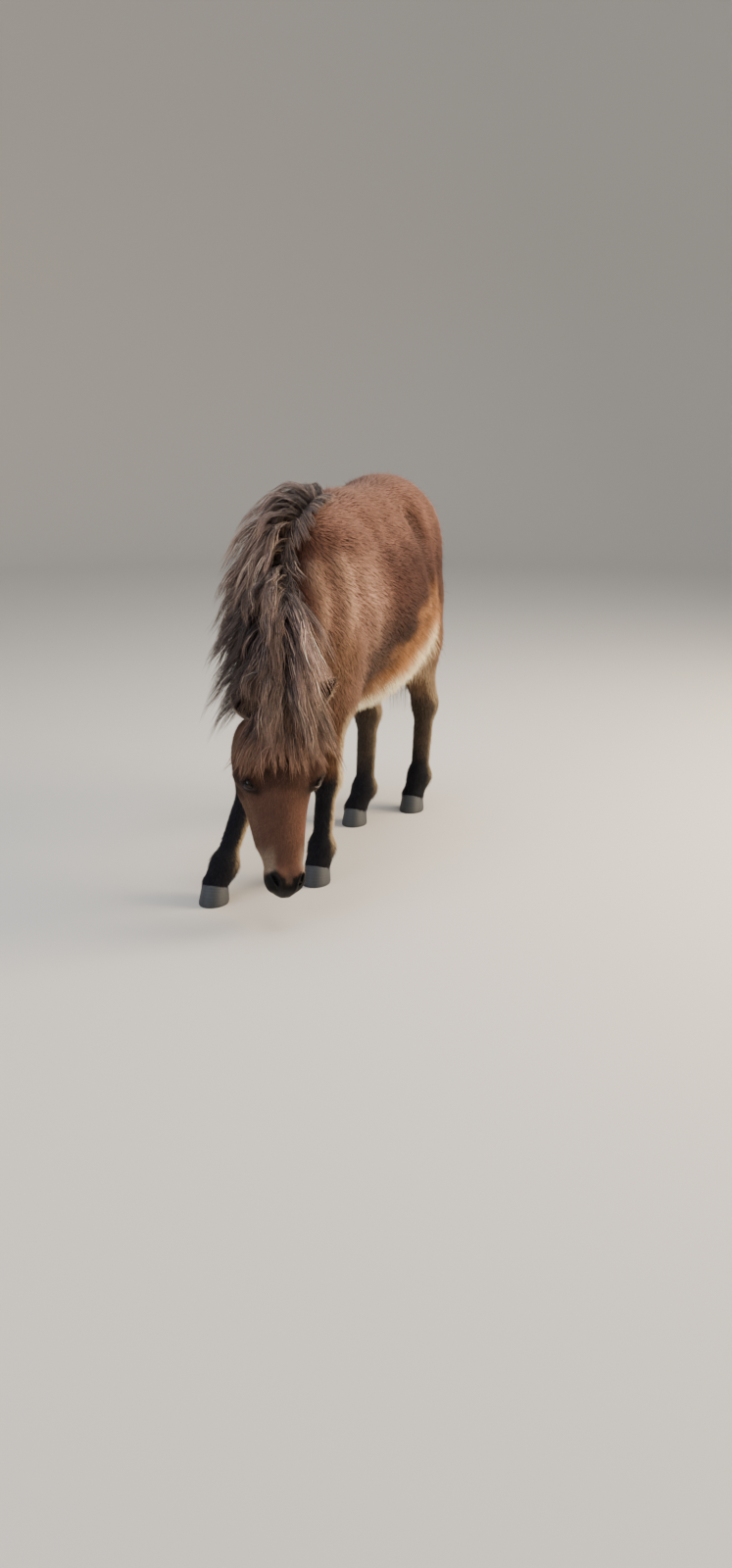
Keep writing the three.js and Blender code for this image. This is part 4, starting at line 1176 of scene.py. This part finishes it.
def addEyes():
    material = eyeMaterialOf()
    for flank, s in bothEyes:
        bpy.ops.mesh.primitive_uv_sphere_add(segments=48, ring_count=32, radius=eyeSet["radius"] * 0.001)
        eye = bpy.context.object
        eye.name = eye.data.name = "eyeball_" + flank
        points = places(eye.data) + centring
        dome = 1 + eyeSet["cornea"] * ramp(11.5, 16, points[:, 2])
        inIris = np.hypot(points[:, 0], points[:, 1]) < eyeSet["iris"]
        inPupil = np.hypot(points[:, 0] / eyeSet["pupilLength"], points[:, 1] / eyeSet["pupilHeight"]) < 1
        colours = np.where(inIris[:, None], linear(eyeColours["iris"]), linear(eyeColours["white"]))
        addTint(eye.data, np.where(inPupil[:, None], linear(eyeColours["pupil"]), colours))
        axes = np.array(eyeAxes(s))
        setPlaces(eye.data, eyeCenter(s) + (points * dome[:, None]) @ axes)
        if np.linalg.det(axes) < 0:
            eye.data.flip_normals()  # the left eye's axes mirror the right one's
        eye.data.materials.append(material)
        choose(eye)
        bpy.ops.object.shade_smooth()
        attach(eye, "root")
        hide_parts("eye_" + flank)


addEyes()


def lidEdge(s, angle, above, proud):
    # from the eye's middle to the edge of the lids' opening, or above it; angle 90 is under the brow
    run, across, out = eyeAxes(s)
    b = eyeSet["lidHeight"] * np.sin(angle) * (1 - eyeSet["lidFall"] * np.abs(np.cos(angle))) + above
    way = np.outer(eyeSet["lidLength"] * np.cos(angle), run) + np.outer(b, across)
    height = np.sqrt(np.maximum(4, (eyeSet["radius"] + proud) ** 2 - np.sum(way * way, axis=1)))
    return way, way + np.outer(height, out)


# Lids: a dark moist rim that rolls over the edge of the opening, thicker above
lidMaterial = newMaterial("lid rim", 0.42, 0.4, colour="#1f1715")[0]


def addLids():
    rows, columns = 72, 10
    angle = 2 * math.pi * np.arange(rows) / rows
    turn = (2 * math.pi * np.arange(columns) / columns)[None, :, None]
    rim = eyeSet["lidRim"] * (1.25 + 0.35 * np.sin(angle))[:, None, None]
    for flank, s in bothEyes:
        way, middle = lidEdge(s, angle, 0, 1.2)
        ring = unit(way)[:, None] * rim * 1.5 * np.cos(turn) + unit(middle)[:, None] * rim * np.sin(turn)
        vertices = (eyeCenter(s) + middle)[:, None] + ring
        addPiece("lids_" + flank, vertices.reshape(-1, 3), ringFaces(rows, columns, closed=True), lidMaterial)


addLids()

# Lashes: a fringe of dark bent hairs on the upper lid
lashSet = {"count": 110, "length": 17, "width": 0.8, "colour": "#14100f"}


def growLashes():
    random = np.random.default_rng(seeds["lashes"])
    taper = np.array([1, 0.9, 0.6, 0.0])
    steps, n = len(taper), lashSet["count"]
    for flank, s in bothEyes:
        run, across, out = eyeAxes(s)
        angle = np.radians(random.uniform(8, 172, n))
        root = eyeCenter(s) + lidEdge(s, angle, random.uniform(0, 2.5, n), 1.6)[1]
        spread = 0.5 * np.cos(angle) + 0.2 * random.normal(0, 1, n)
        heading = unit(out + 0.35 * across + np.outer(spread, run))
        length = lashSet["length"] * random.uniform(0.6, 1.1, n) * (0.55 + 0.45 * np.sin(angle))
        path, p = [root - heading * 1.5], root
        for _ in range(1, steps):
            p = p + heading * (length / (steps - 1))[:, None]
            heading = unit(heading * 0.75 + (headDown * 0.5 - across * 0.35) * 0.5)
            path.append(p)
        addHairPieces("lashes_" + flank, np.stack(path, axis=1), np.tile(lashSet["width"] * taper, (n, 1)),
                      np.tile(out, (n, 1)), np.tile(linear(lashSet["colour"]), (n, steps, 1)), bakeNear(root),
                      furMaterial, "eye", 0.7)


growLashes()

# Hooves: horn that widens to the ground, with fine growth rings, a soft coronet and heels. Half width and
# half length are given at these shares of its height; the wall turns in to the coronet at wallEnd
hoofSet = {"shares": [0, 0.12, 1], "wide": [33.4, 34, 30], "long": [38, 38.5, 32], "slant": 20, "setBack": 10,
           "wallEnd": 0.93, "coronet": 1.5, "rings": 9, "ringHeight": 0.35, "cleft": 5.0, "colour": "#3c4147"}


def hornMaterialOf():
    # dull grey horn with a fine grain
    material, shader = newMaterial("horn", 0.55, 0.35)
    addGrain(material, shader, 420, 4, 0.35, 0.0008)
    return material


def hoofShape():
    # rings of points up the wall of a hoof, and the shade of the horn there
    rows, columns = 30, 64
    t = np.linspace(0, 1, rows)[:, None]
    angle = (2 * math.pi * np.arange(columns) / columns)[None]
    rise = np.minimum(1, t / hoofSet["wallEnd"])
    inward = np.clip((t - hoofSet["wallEnd"]) / (1 - hoofSet["wallEnd"]), 0, 1)
    front, heel = np.maximum(0, -np.sin(angle)), np.maximum(0, np.sin(angle)) ** 3
    wave = rise * hoofSet["rings"] * 2 * math.pi
    groove = hoofSet["ringHeight"] * np.sin(wave) * (1 - heel)
    cleft = hoofSet["cleft"] * np.exp(-(np.cos(angle) / 0.16) ** 2) * heel * (1 - 0.3 * rise)
    back = hoofSet["setBack"] * rise
    x = (np.interp(rise, hoofSet["shares"], hoofSet["wide"]) + groove) * np.cos(angle)
    y = np.interp(rise, hoofSet["shares"], hoofSet["long"]) + groove + 2 * front * (1 - rise)
    y = y * np.sin(angle) + back - cleft
    full = bodySet["hoofHeight"] - math.tan(math.radians(hoofSet["slant"])) * (y + 10)
    z = rise * full + hoofSet["coronet"] * np.sin(inward * math.pi / 2)
    x, y = x * (1 - 0.3 * inward), (y - back) * (1 - 0.3 * inward) + back
    band = (1 + 0.10 * np.sin(wave + 1) + 0.06 * np.sin(rise * 41)) * (0.75 + 0.35 * rise)
    faces = ringFaces(rows, columns, capped=True)
    return np.stack([x, y, z], axis=2).reshape(-1, 3), np.repeat(band, columns), faces


def addHooves():
    material = hornMaterialOf()
    vertices, band, faces = hoofShape()
    for name, joint in legJoints.items():
        piece = addPiece(name.replace("leg", "horn"), vertices + np.array(joint["hoof"]), faces, material)
        addTint(piece.data, np.outer(band, linear(hoofSet["colour"])))
        choose(piece)
        bpy.ops.object.shade_smooth_by_angle(angle=math.radians(50))
        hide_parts(name.replace("leg", "hoof"))


addHooves()
print("eyes, lids and hooves made")

# Ears: curled leaves, open to the front, pale along the edge and hairy inside. The outline gives shares of
# the width at heights along the ear
earSet = {"width": 50, "wall": 3.2, "furWidth": 1.3, "back": "#3b2f2b", "inside": "#14100f", "edge": "#a99480",
          "left": {"root": (54, -8, 46), "tip": (122, 4, -26), "turn": 0.25},
          "right": {"root": (-42, -36, 48), "tip": (-97, -49, 2), "turn": -0.25}}
earOutline = ([-0.2, 0.05, 0.28, 0.5, 0.7, 0.86, 0.96, 1.0], [0.70, 0.86, 1.0, 0.97, 0.76, 0.46, 0.22, 0.05])
earRows, earHalf = 40, 22


def earFrame(flank):
    root, tip = onHead(*earSet[flank]["root"]), onHead(*earSet[flank]["tip"])
    axis = unit(tip - root)
    opening = headFront + headLeft * earSet[flank]["turn"]
    opening = unit(opening - axis * (opening @ axis))
    return root, np.linalg.norm(tip - root), axis, opening, unit(np.cross(axis, opening))


def earPoints(flank, t, a, depth):
    # t along the ear, a from -1 to 1 across its curl, depth from the outside inwards
    root, reach, axis, opening, across = earFrame(flank)
    half = earSet["width"] / 2 * np.interp(t, *earOutline)
    curl = np.radians(118 - 26 * np.maximum(0, t)) * a
    bow = -10 * np.sin(math.pi * np.clip(t, 0, 1)) + 6 * t * t - (half * 0.8 - depth) * np.cos(curl)
    sideways = (half - depth) * np.sin(curl)
    return root + np.outer(t * reach, axis) + np.outer(bow, opening) + np.outer(sideways, across)


def addEars():
    # each ring runs over the back of the leaf and returns inside it
    material = newMaterial("ear skin", 0.8, 0.2)[0]  # matt leather
    t = np.repeat(-0.2 + 1.2 * np.linspace(0, 1, earRows) ** 0.9, 2 * earHalf)
    across = np.linspace(-1, 1, earHalf)
    a = np.tile(np.concatenate([across, -across * 0.97]), earRows)
    inside = np.tile(np.repeat([0.0, 1.0], earHalf), earRows)
    wall = np.minimum(earSet["wall"], earSet["width"] / 2 * np.interp(t, *earOutline) * 0.6)
    colours = np.where(inside[:, None] > 0, linear(earSet["inside"]), linear(earSet["back"]))
    ears = {}
    for flank in ("left", "right"):
        ears[flank] = addPiece("ear_leaf_" + flank, earPoints(flank, t, a, wall * inside),
                               ringFaces(earRows, 2 * earHalf, capped=True), material)
        addTint(ears[flank].data, colours)
        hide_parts("ear_" + flank)
    for flank, ear in ears.items():
        growEarFur(ear, flank, inside, np.abs(np.tile(across, 2 * earRows)) ** 8)


def growEarFur(ear, flank, inside, edge):
    # short outside, longer along the edges and fluffy inside
    surface = surfaceOf(ear)
    root, reach, axis, opening, _ = earFrame(flank)
    t = (surface["points"] - root) @ axis / reach
    density = np.where(inside > 0.5, 0.16, 0.3) * (t > -0.1)
    at, out, bake, carried, random = rootsOn(surface, density, seeds["ears"])
    within, rim = carried(inside), carried(edge)
    lie = axis + 0.5 * within[:, None] * opening + 0.2 * random.normal(0, 1, (len(at), 3))
    lie = flattened(lie, out)
    length = (7 + 9 * within + 7 * rim) * random.uniform(0.7, 1.3, len(at))
    rise = np.radians(16 + 26 * within + 14 * rim) * random.uniform(0.6, 1.5, len(at))
    tips, shade = clumped(at, raised(at, lie, out, length, rise), 8, 0.3, random)
    back, inner, pale = (linear(earSet[part]) for part in ("back", "inside", "edge"))
    base = back + (inner - back) * within[:, None]
    base = base + (pale - base) * np.clip(1.1 * rim, 0, 1)[:, None]
    tones = shadedHair(base, random, 2, shade, 0.6)
    addTufts("ear_fur_" + flank, at, tips, out, earSet["furWidth"], tones, bake, "dark_coat", 0.4)


addEars()


def onFlesh(points):
    for _ in range(6):
        gradient = slope(flesh, points)
        size = np.maximum(np.sum(gradient ** 2, axis=1), flattest)
        points = points - gradient * (flesh(points) / size)[:, None]
    return points


def pushOut(points, room):
    # points nearer to the flesh than their room move out to it
    distance = flesh(points)
    near = distance < room
    if near.any():
        points[near] += unit(slope(flesh, points[near])) * (room - distance)[near][:, None]


def fallingPaths(roots, outs, lies, lengths, steps, clearance, turnRate=0.5):
    # hair leaves its root outwards, turns towards its lie and keeps its clearance over the flesh
    normals = unit(slope(flesh, roots))
    heading = unit(outs)
    p = roots + normals * 2
    paths = [roots - normals * 5]
    for i in range(1, steps):
        heading = unit(heading + (lies - heading) * turnRate)
        p = p + heading * (lengths / (steps - 1))[:, None]
        for _ in range(2):
            pushOut(p, clearance * min(1, (i + 0.6) / 2.2))
        paths.append(p.copy())
    return np.stack(paths, axis=1)


def finer(paths, steps):
    # more points along each path, on a smooth curve through the given ones
    last = paths.shape[1] - 1
    t = np.linspace(0, last, steps)
    i = np.clip(t.astype(int), 0, last - 1)
    return throughFour(paths[:, np.maximum(i - 1, 0)], paths[:, i], paths[:, i + 1],
                       paths[:, np.minimum(i + 2, last)], (t - i)[None, :, None])


def shortened(paths, share):
    # the same strands, each ended at its own share of its length
    steps = paths.shape[1]
    t = np.linspace(0, 1, steps)[None] * share[:, None] * (steps - 1)
    i = np.clip(t.astype(int), 0, steps - 2)
    f = (t - i)[..., None]
    rows = np.arange(len(paths))[:, None]
    return paths[rows, i] * (1 - f) + paths[rows, i + 1] * f


# Strands of all long hair: how loose they lie, how many stray, and how far they stay off the flesh
strandSet = {"steps": 7, "loose": 0.12, "strayShare": 0.12, "strayWave": 1.8, "room": 3}


def strandsOf(locks, widths, look, random, wave=None):
    # each lock is a bundle of wavy strands that draw together towards its tip
    count, steps, each = len(locks), strandSet["steps"], look["each"]
    wave = look["wave"] if wave is None else wave
    paths = np.repeat(finer(locks, steps), each, axis=0)
    total = len(paths)
    lock = np.repeat(np.arange(count), each)
    along = np.linspace(0, 1, steps)
    t = along[None, :, None]
    ahead = unit(np.gradient(paths, axis=1))
    away = unit(slope(flesh, paths[:, steps // 2], 4))[:, None, :]
    side = unit(np.cross(ahead, np.broadcast_to(away, ahead.shape)))
    lift = unit(np.cross(side, ahead))
    angle = random.uniform(0, 2 * math.pi, total)
    radius = np.sqrt(random.random(total)) * widths[lock] / 2
    gather = 1 - (1 - look["endSpread"]) * t ** 0.8
    looseness = 1 + strandSet["loose"] * random.normal(0, 1, (total, 1, 1)) * t * 3
    offset = side * (radius * np.cos(angle))[:, None, None]
    offset = offset + lift * (0.3 * radius * np.sin(angle))[:, None, None]
    paths = paths + offset * gather * looseness
    run = np.linalg.norm(np.diff(paths, axis=1), axis=2).sum(axis=1)
    phase = random.uniform(0, 2 * math.pi, count)[lock] + random.normal(0, 0.5, total)
    pitch = look["waveLength"] * random.uniform(0.8, 1.3, count)[lock]
    swing = (wave * random.uniform(0.5, 1.4, count))[lock] * random.uniform(0.6, 1.3, total)
    swing = swing * np.where(random.random(total) < strandSet["strayShare"], strandSet["strayWave"], 1.0)
    turn = phase[:, None] + 2 * math.pi * run[:, None] / pitch[:, None] * along[None]
    grow = swing[:, None] * np.minimum(1, 2.5 * along)[None]
    paths = paths + side * (np.sin(turn) * grow)[..., None]
    paths = paths + lift * (0.6 * np.cos(turn * 0.9) * grow)[..., None]
    paths = shortened(paths, random.uniform(0.72, 1.0, total))
    flat = paths[:, 1:].reshape(-1, 3)
    pushOut(flat, strandSet["room"])
    paths[:, 1:] = flat.reshape(total, steps - 1, 3)
    taper = np.minimum(1, 0.7 + 1.2 * along) * np.sqrt(np.maximum(0, 1 - along ** 3))
    hair = look["hairWidth"] * random.uniform(0.7, 1.3, total)[:, None] * taper[None]
    return paths, hair, lift[:, steps // 2], lock


# Long hair: dark brown with sun-bleached tan strands
hairColours = {"dark": "#3d3335", "brown": "#65524d", "ash": "#84706b", "tan": "#b39684", "pale": "#d8bfa8"}


def hairMix(random, count, weights):
    # a colour for each strand, drawn from the named ones by their weights in the same order
    table = np.array([linear(colour) for colour in hairColours.values()])
    weights = np.stack([np.broadcast_to(weight, count) for weight in weights], axis=1)
    total = np.cumsum(weights / weights.sum(axis=1, keepdims=True), axis=1)
    pick = (random.random(count)[:, None] > total).sum(axis=1)
    return table[np.minimum(pick, len(table) - 1)]


# Mane: it grows along the crest, from the withers to the poll
crestKnots = [(8, -200, 893), (8, -285, 876), (-14, -360, 812), (-2, -410, 735), (20, -467, 662),
              (34, -512, 588), (40, -535, 540)]
maneSet = {"each": 22, "hairWidth": 1.35, "wave": 6, "waveLength": 115, "endSpread": 0.62}
# Rows of locks: side they fall to and how much that varies, number, height over the neck, length, how far
# they follow the crest, and where on the crest the row starts and ends
rowKeys = ("side", "scatter", "count", "lift", "length", "along", "start", "end")
maneRows = [dict(zip(rowKeys, row)) for row in (
    (-1.0, 0, 46, 14, 215, 0.0, 0.14, 0.96),
    (-1.0, 0, 50, 36, 215, 0.05, 0.10, 0.94),
    (-1.0, 0, 52, 58, 200, 0.1, 0.08, 0.9),
    (-0.55, 0, 46, 62, 165, 0.45, 0.08, 0.95),
    (1.0, 0, 30, 14, 205, 0.3, 0.60, 1.0),
    (0.8, 0, 36, 36, 215, 0.6, 0.56, 1.0),
    (0.25, 0, 44, 56, 185, 1.0, 0.46, 1.0),
    (-0.1, 0.5, 56, 66, 130, 0.7, 0.26, 0.98),
    (-0.25, 0, 34, 40, 110, 0.1, 0.02, 0.42),
    (0.35, 0.35, 60, 16, 75, 0.0, 0.03, 0.6),
    (-0.1, 1.0, 30, 26, 150, 0.8, 0.80, 1.0),
)]
shortRow = 120  # rows shorter than this lie low and stay dark
middleRow = 170


def maneLocks(row, random):
    # places along the crest, roots and paths of a row's locks
    n = row["count"]
    side = row["side"] + row["scatter"] * random.uniform(-1, 1, n)
    place = (np.arange(n) + random.uniform(0.1, 0.9, n)) / n
    t = row["start"] + (row["end"] - row["start"]) * place
    full = np.minimum(1, 0.54 + 1.45 * t) * (1.1 if row["side"] < 0 else 1.0)
    roots = curveAt(crestKnots, t)
    roots[:, 0] += side * 14 * random.random(n) + random.uniform(-5, 5, n)
    roots[:, 1] += random.uniform(-7, 7, n)
    roots = onFlesh(roots)
    back = np.maximum(0, 0.5 - 1.6 * t) * (1 - row["along"])
    length = row["length"] * np.minimum(1, 0.38 + 1.95 * t) * random.uniform(0.8, 1.2, n)
    lie = np.stack([side * 0.5, 1.2 * back + 0.5 * (random.random(n) - 0.5), np.full(n, -0.9)], axis=1)
    lie = unit(lie + curveWay(crestKnots, t) * row["along"])
    out = unit(slope(flesh, roots)) + np.stack([side, 0 * side, 0.1 + 0 * side], axis=1)
    clearance = row["lift"] * full * random.uniform(0.75, 1.2, n)
    return t, roots, fallingPaths(roots, out, lie, length, 6, clearance)


def maneTones(row, t, lock, random):
    # paler at the top and where the mane parts, darker low on its own side and in the short rows
    top = ramp(0.62, 0.30, t)[lock]
    frizz = np.exp(-((t - 0.44) / 0.1) ** 2)[lock] * (row["lift"] > 30)
    lockTone = random.normal(0, 1, row["count"])[lock]
    pale = 0.1 + 0.6 * top * row["lift"] / 60 + 0.5 * frizz + 0.12 * (row["side"] > 0) + 0.1 * lockTone
    pale = np.clip(pale, 0.03, 0.9) * (0.3 if row["length"] < shortRow else 1.0)
    dark = 1.1 * (1 - top) * (1 - 0.6 * frizz) + 0.3
    colours = hairMix(random, len(lock), [dark, 1, 0.8, pale * 1.5, pale * 0.35])
    lower = (row["side"] < -0.5) * ramp(0.26, 0.5, t)
    light = (0.88 + 0.5 * top - 0.4 * lower[lock]) * np.exp(0.26 * lockTone)
    light = light * (1 + (row["side"] > 0.5) * (0.6 * ramp(0.82, 0.66, t)[lock] - 0.1))
    light = light * (1 - 0.25 * ramp(0.76, 0.9, t)[lock])
    # rows that lie under the longer ones are darker: painted shade
    light = light * (0.5 if row["length"] < shortRow else 0.8 if row["length"] < middleRow else 1.0)
    falls = row["side"] < -0.5 or row["length"] < shortRow
    tipLight, tipColour = (1.0, "#6b5246") if falls else (1.3, "#a07d66")
    return shadedHair(colours * light[:, None], random, strandSet["steps"], 0, 0.36, tipLight, 0.2, tipColour,
                      0.3)


def growMane():
    random = np.random.default_rng(seeds["mane"])
    grown = []
    for row in maneRows:
        t, roots, locks = maneLocks(row, random)
        widths = random.uniform(22, 42, row["count"])
        wave = maneSet["wave"] * (0.35 + 0.65 * ramp(0.2, 0.5, t))
        paths, hair, lift, lock = strandsOf(locks, widths, maneSet, random, wave)
        grown.append((paths, hair, lift, maneTones(row, t, lock, random), bakeNear(roots)[lock]))
    addHairPieces("mane", *(np.concatenate(part) for part in zip(*grown)), maneMaterial, "long_hair")


growMane()

# Forelock: it falls over the brow in three layers
forelockSet = {"locks": 130, "each": 22, "hairWidth": 1.25, "wave": 6, "waveLength": 90, "endSpread": 0.35,
               "length": 176, "tip": "#8f664c"}
goldenStep = 0.618034  # spreads places evenly, however many there are


def growForelock():
    random = np.random.default_rng(seeds["forelock"])
    n = forelockSet["locks"]
    spread = 2 * ((np.arange(n) * goldenStep) % 1) - 1
    layer = (np.arange(n) % 3) / 2
    roots = onFlesh(np.array([onHead(spread[k] * 50, -12, 6 + 50 * layer[k]) for k in range(n)]))
    length = (forelockSet["length"] - 60 * layer) * random.uniform(0.66, 1.24, n)
    lie = unit(headDown + headLeft * (spread * 0.5 + 0.25 * (random.random(n) - 0.5))[:, None])
    out = headFront + headLeft * (spread * 0.5)[:, None] + headDown * 0.4
    locks = fallingPaths(roots, out, lie, length, 6, 6 + 12 * (1 - layer), 0.6)
    paths, hair, lift, lock = strandsOf(locks, random.uniform(16, 30, n), forelockSet, random)
    tone = np.clip(0.2 + 0.1 * random.normal(0, 1, n), 0.05, 0.5)[lock]
    colours = hairMix(random, len(paths), [1, 0.9, 0.4, tone, 0.3 * tone])
    colours = colours * np.exp(0.25 * random.normal(0, 1, n))[lock][:, None]
    tones = shadedHair(colours, random, strandSet["steps"], 0, 0.35, 1.2, 0.2, forelockSet["tip"], 0.6)
    addHairPieces("forelock", paths, hair, lift, tones, bakeNear(roots)[lock], maneMaterial, "long_hair")


growForelock()

# Tail: the dock with its short fur, and long hair that falls from it
dockKnots = [(0, 440, 842), (0, 482, 810), (-2, 506, 748), (-4, 510, 690)]
dockSet = {"widths": [34, 36, 32, 24, 8], "colour": "#241c1a", "furLength": 24, "furWidth": 2.4,
           "furRise": 14, "furDensity": 0.13, "furRoom": 9}
tailSet = {"locks": 112, "each": 18, "hairWidth": 1.7, "wave": 6, "waveLength": 120, "endSpread": 0.5,
           "length": 640, "room": 10}


def dockGirth(t):
    return 0.8 * np.interp(t, np.linspace(0, 1, len(dockSet["widths"])), dockSet["widths"])


def addDock():
    # the fleshy root of the tail, under its hair
    rows, columns = 14, 20
    t = np.linspace(0, 1, rows)
    turn = (2 * math.pi * np.arange(columns) / columns)[None, :, None]
    girth = dockGirth(t)[:, None, None]
    up = unit(np.cross(curveWay(dockKnots, t), [1, 0, 0]))[:, None]
    vertices = (curveAt(dockKnots, t)[:, None] + girth * np.cos(turn) * np.array([1, 0, 0])
                + up * girth * 0.85 * np.sin(turn)).reshape(-1, 3)
    dock = addPiece("tail_dock", vertices, ringFaces(rows, columns, capped=True), skin.data.materials[0])
    addTint(dock.data, np.tile(linear(dockSet["colour"]), (len(vertices), 1)))
    addBare(dock.data, np.zeros(len(vertices)))
    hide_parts("tail")
    growDockFur(dock)


def growDockFur(dock):
    # the dock's short fur starts in the colour of the rump and darkens towards the long hair
    surface = surfaceOf(dock)
    density = np.full(len(surface["points"]), dockSet["furDensity"])
    at, out, bake, _, random = rootsOn(surface, density, seeds["dock"])
    along = ramp(842, 700, at[:, 2])
    lie = curveWay(dockKnots, along) + 0.15 * random.normal(0, 1, at.shape)
    lie = flattened(lie, out)
    length = dockSet["furLength"] * (1 + 1.2 * along) * random.uniform(0.7, 1.2, len(at))
    rise = np.radians(dockSet["furRise"]) * random.uniform(0.5, 1.5, len(at))
    tips, shade = clumped(at, raised(at, lie, out, length, rise), 8, 0.1, random)
    rump, dark = linear(coatColours["back"]) * 0.6, linear(hairColours["dark"])
    tones = shadedHair(rump + (dark - rump) * along[:, None], random, 2, shade)
    addTufts("dock_fur", at, tips, out, dockSet["furWidth"], tones, bake, "long_hair")


def clearOfDock(points):
    # points inside the dock, or close to it, move out to its fur
    t = np.linspace(0, 1, 30)
    axis = curveAt(dockKnots, t)
    nearest = np.argmin(np.linalg.norm(points[:, None] - axis[None], axis=2), axis=1)
    away = points - axis[nearest]
    room = dockGirth(t)[nearest] + dockSet["furRoom"]
    far = np.linalg.norm(away, axis=1)
    return np.where((far < room)[:, None], axis[nearest] + unit(away) * room[:, None], points)


def growTail():
    random = np.random.default_rng(seeds["tail"])
    n = tailSet["locks"]
    k = np.arange(n)
    t = 0.94 * ((k * goldenStep) % 1)
    angle = 2 * math.pi * ((k * 0.381966 + 0.1 * random.random(n)) % 1)  # the golden angle, a little uneven
    out = unit(np.stack([np.cos(angle), 0.6 * np.sin(angle) + 0.35, np.full(n, 0.2)], axis=1))
    root, way, girth = curveAt(dockKnots, t), curveWay(dockKnots, t), dockGirth(t)[:, None]
    spread = 0.45 + 0.55 * random.random(n)
    drop = np.where(t < 0.4, 130 * random.random(n), 0)
    ends = np.stack([62 * np.cos(angle) * spread, 474 + 30 * np.sin(angle) + 20 * random.random(n),
                     842 - tailSet["length"] + 190 * random.random(n) ** 2 + drop], axis=1)
    start = root + out * (girth + 6) + way * 30
    path = [root + out * (girth - 4) - way * 12]
    for share in (0, 0.08, 0.2, 0.42, 0.7, 1):
        path.append(start + (ends - start) * share + out * 14 * math.sin(math.pi * share))
    locks = np.stack(path, axis=1)
    flat = clearOfDock(locks[:, 1:].reshape(-1, 3))
    pushOut(flat, tailSet["room"])
    locks[:, 1:] = flat.reshape(n, -1, 3)
    paths, hair, lift, lock = strandsOf(locks, random.uniform(22, 44, n), tailSet, random)
    tone = np.clip(0.2 + 0.15 * random.normal(0, 1, n), 0.02, 0.6)[lock]
    colours = hairMix(random, len(paths), [1.1, 0.8, 0.4, tone, 0.05 * tone])
    tones = shadedHair(colours, random, strandSet["steps"], 0, 0.5, 1.0, 0.2)
    addHairPieces("tail_hair", paths, hair, lift, tones, bakeNear(root)[lock], maneMaterial, "long_hair")


addDock()
growTail()

# Stage: a pale matt floor that rises into a pale wall all round
floorSet = {"flat": 7.0, "bend": 2.5, "wall": 6.0, "bendSteps": 12, "columns": 64, "colour": "#d9d6d0"}


def addFloor():
    flat, bend, columns = floorSet["flat"], floorSet["bend"], floorSet["columns"]
    profile = [(0.001, 0.0), (flat / 2, 0.0), (flat, 0.0)]
    for k in range(1, floorSet["bendSteps"] + 1):
        turn = math.pi / 2 * k / floorSet["bendSteps"]
        profile.append((flat + bend * math.sin(turn), bend * (1 - math.cos(turn))))
    profile.append((flat + bend, floorSet["wall"]))
    turns = [2 * math.pi * j / columns for j in range(columns)]
    vertices = [(r * math.cos(turn), r * math.sin(turn), z) for r, z in profile for turn in turns]
    mesh = bpy.data.meshes.new("floor")
    mesh.from_pydata(vertices, [], ringFaces(len(profile), columns))
    floor = linked("floor", mesh)
    choose(floor)
    bpy.ops.object.shade_smooth()
    mesh.materials.append(newMaterial("pale floor", 0.7, 0.2, colour=floorSet["colour"])[0])


addFloor()

# Soft light: warm lamps behind and low on the right, a wide one above, and a weak fill at the front left
lightSet = {
    "rim": {"place": (2.9, 1.4, 1.8), "size": 2.0, "power": 215, "colour": "#ffe6c6"},
    "low": {"place": (2.6, 0.0, 0.7), "size": 1.2, "power": 45, "colour": "#ffe2b8"},
    "top": {"place": (0.4, 0.3, 3.6), "size": 3.2, "power": 95, "colour": "#ffffff"},
    "fill": {"place": (-1.6, -3.6, 2.2), "size": 2.6, "power": 70, "colour": "#f2f4ff"},
}
worldLight = {"colour": "#e4e6ea", "strength": 0.55}


def addLights():
    for name, light in lightSet.items():
        data = bpy.data.lights.new(name, "AREA")
        data.shape = "DISK"
        data.size = light["size"]
        data.energy = light["power"]
        data.color = tuple(linear(light["colour"]))
        lamp = linked(name, data)
        lamp.location = light["place"]
        aim = Vector((0, 0, 0.5)) - Vector(light["place"])  # at the middle of the body
        lamp.rotation_euler = aim.to_track_quat("-Z", "Y").to_euler()
    world = bpy.data.worlds.new("studio air")
    world.use_nodes = True
    sky = world.node_tree.nodes["Background"]
    sky.inputs["Color"].default_value = (*linear(worldLight["colour"]), 1)
    sky.inputs["Strength"].default_value = worldLight["strength"]
    bpy.context.scene.world = world


addLights()
print("floor and lights set")
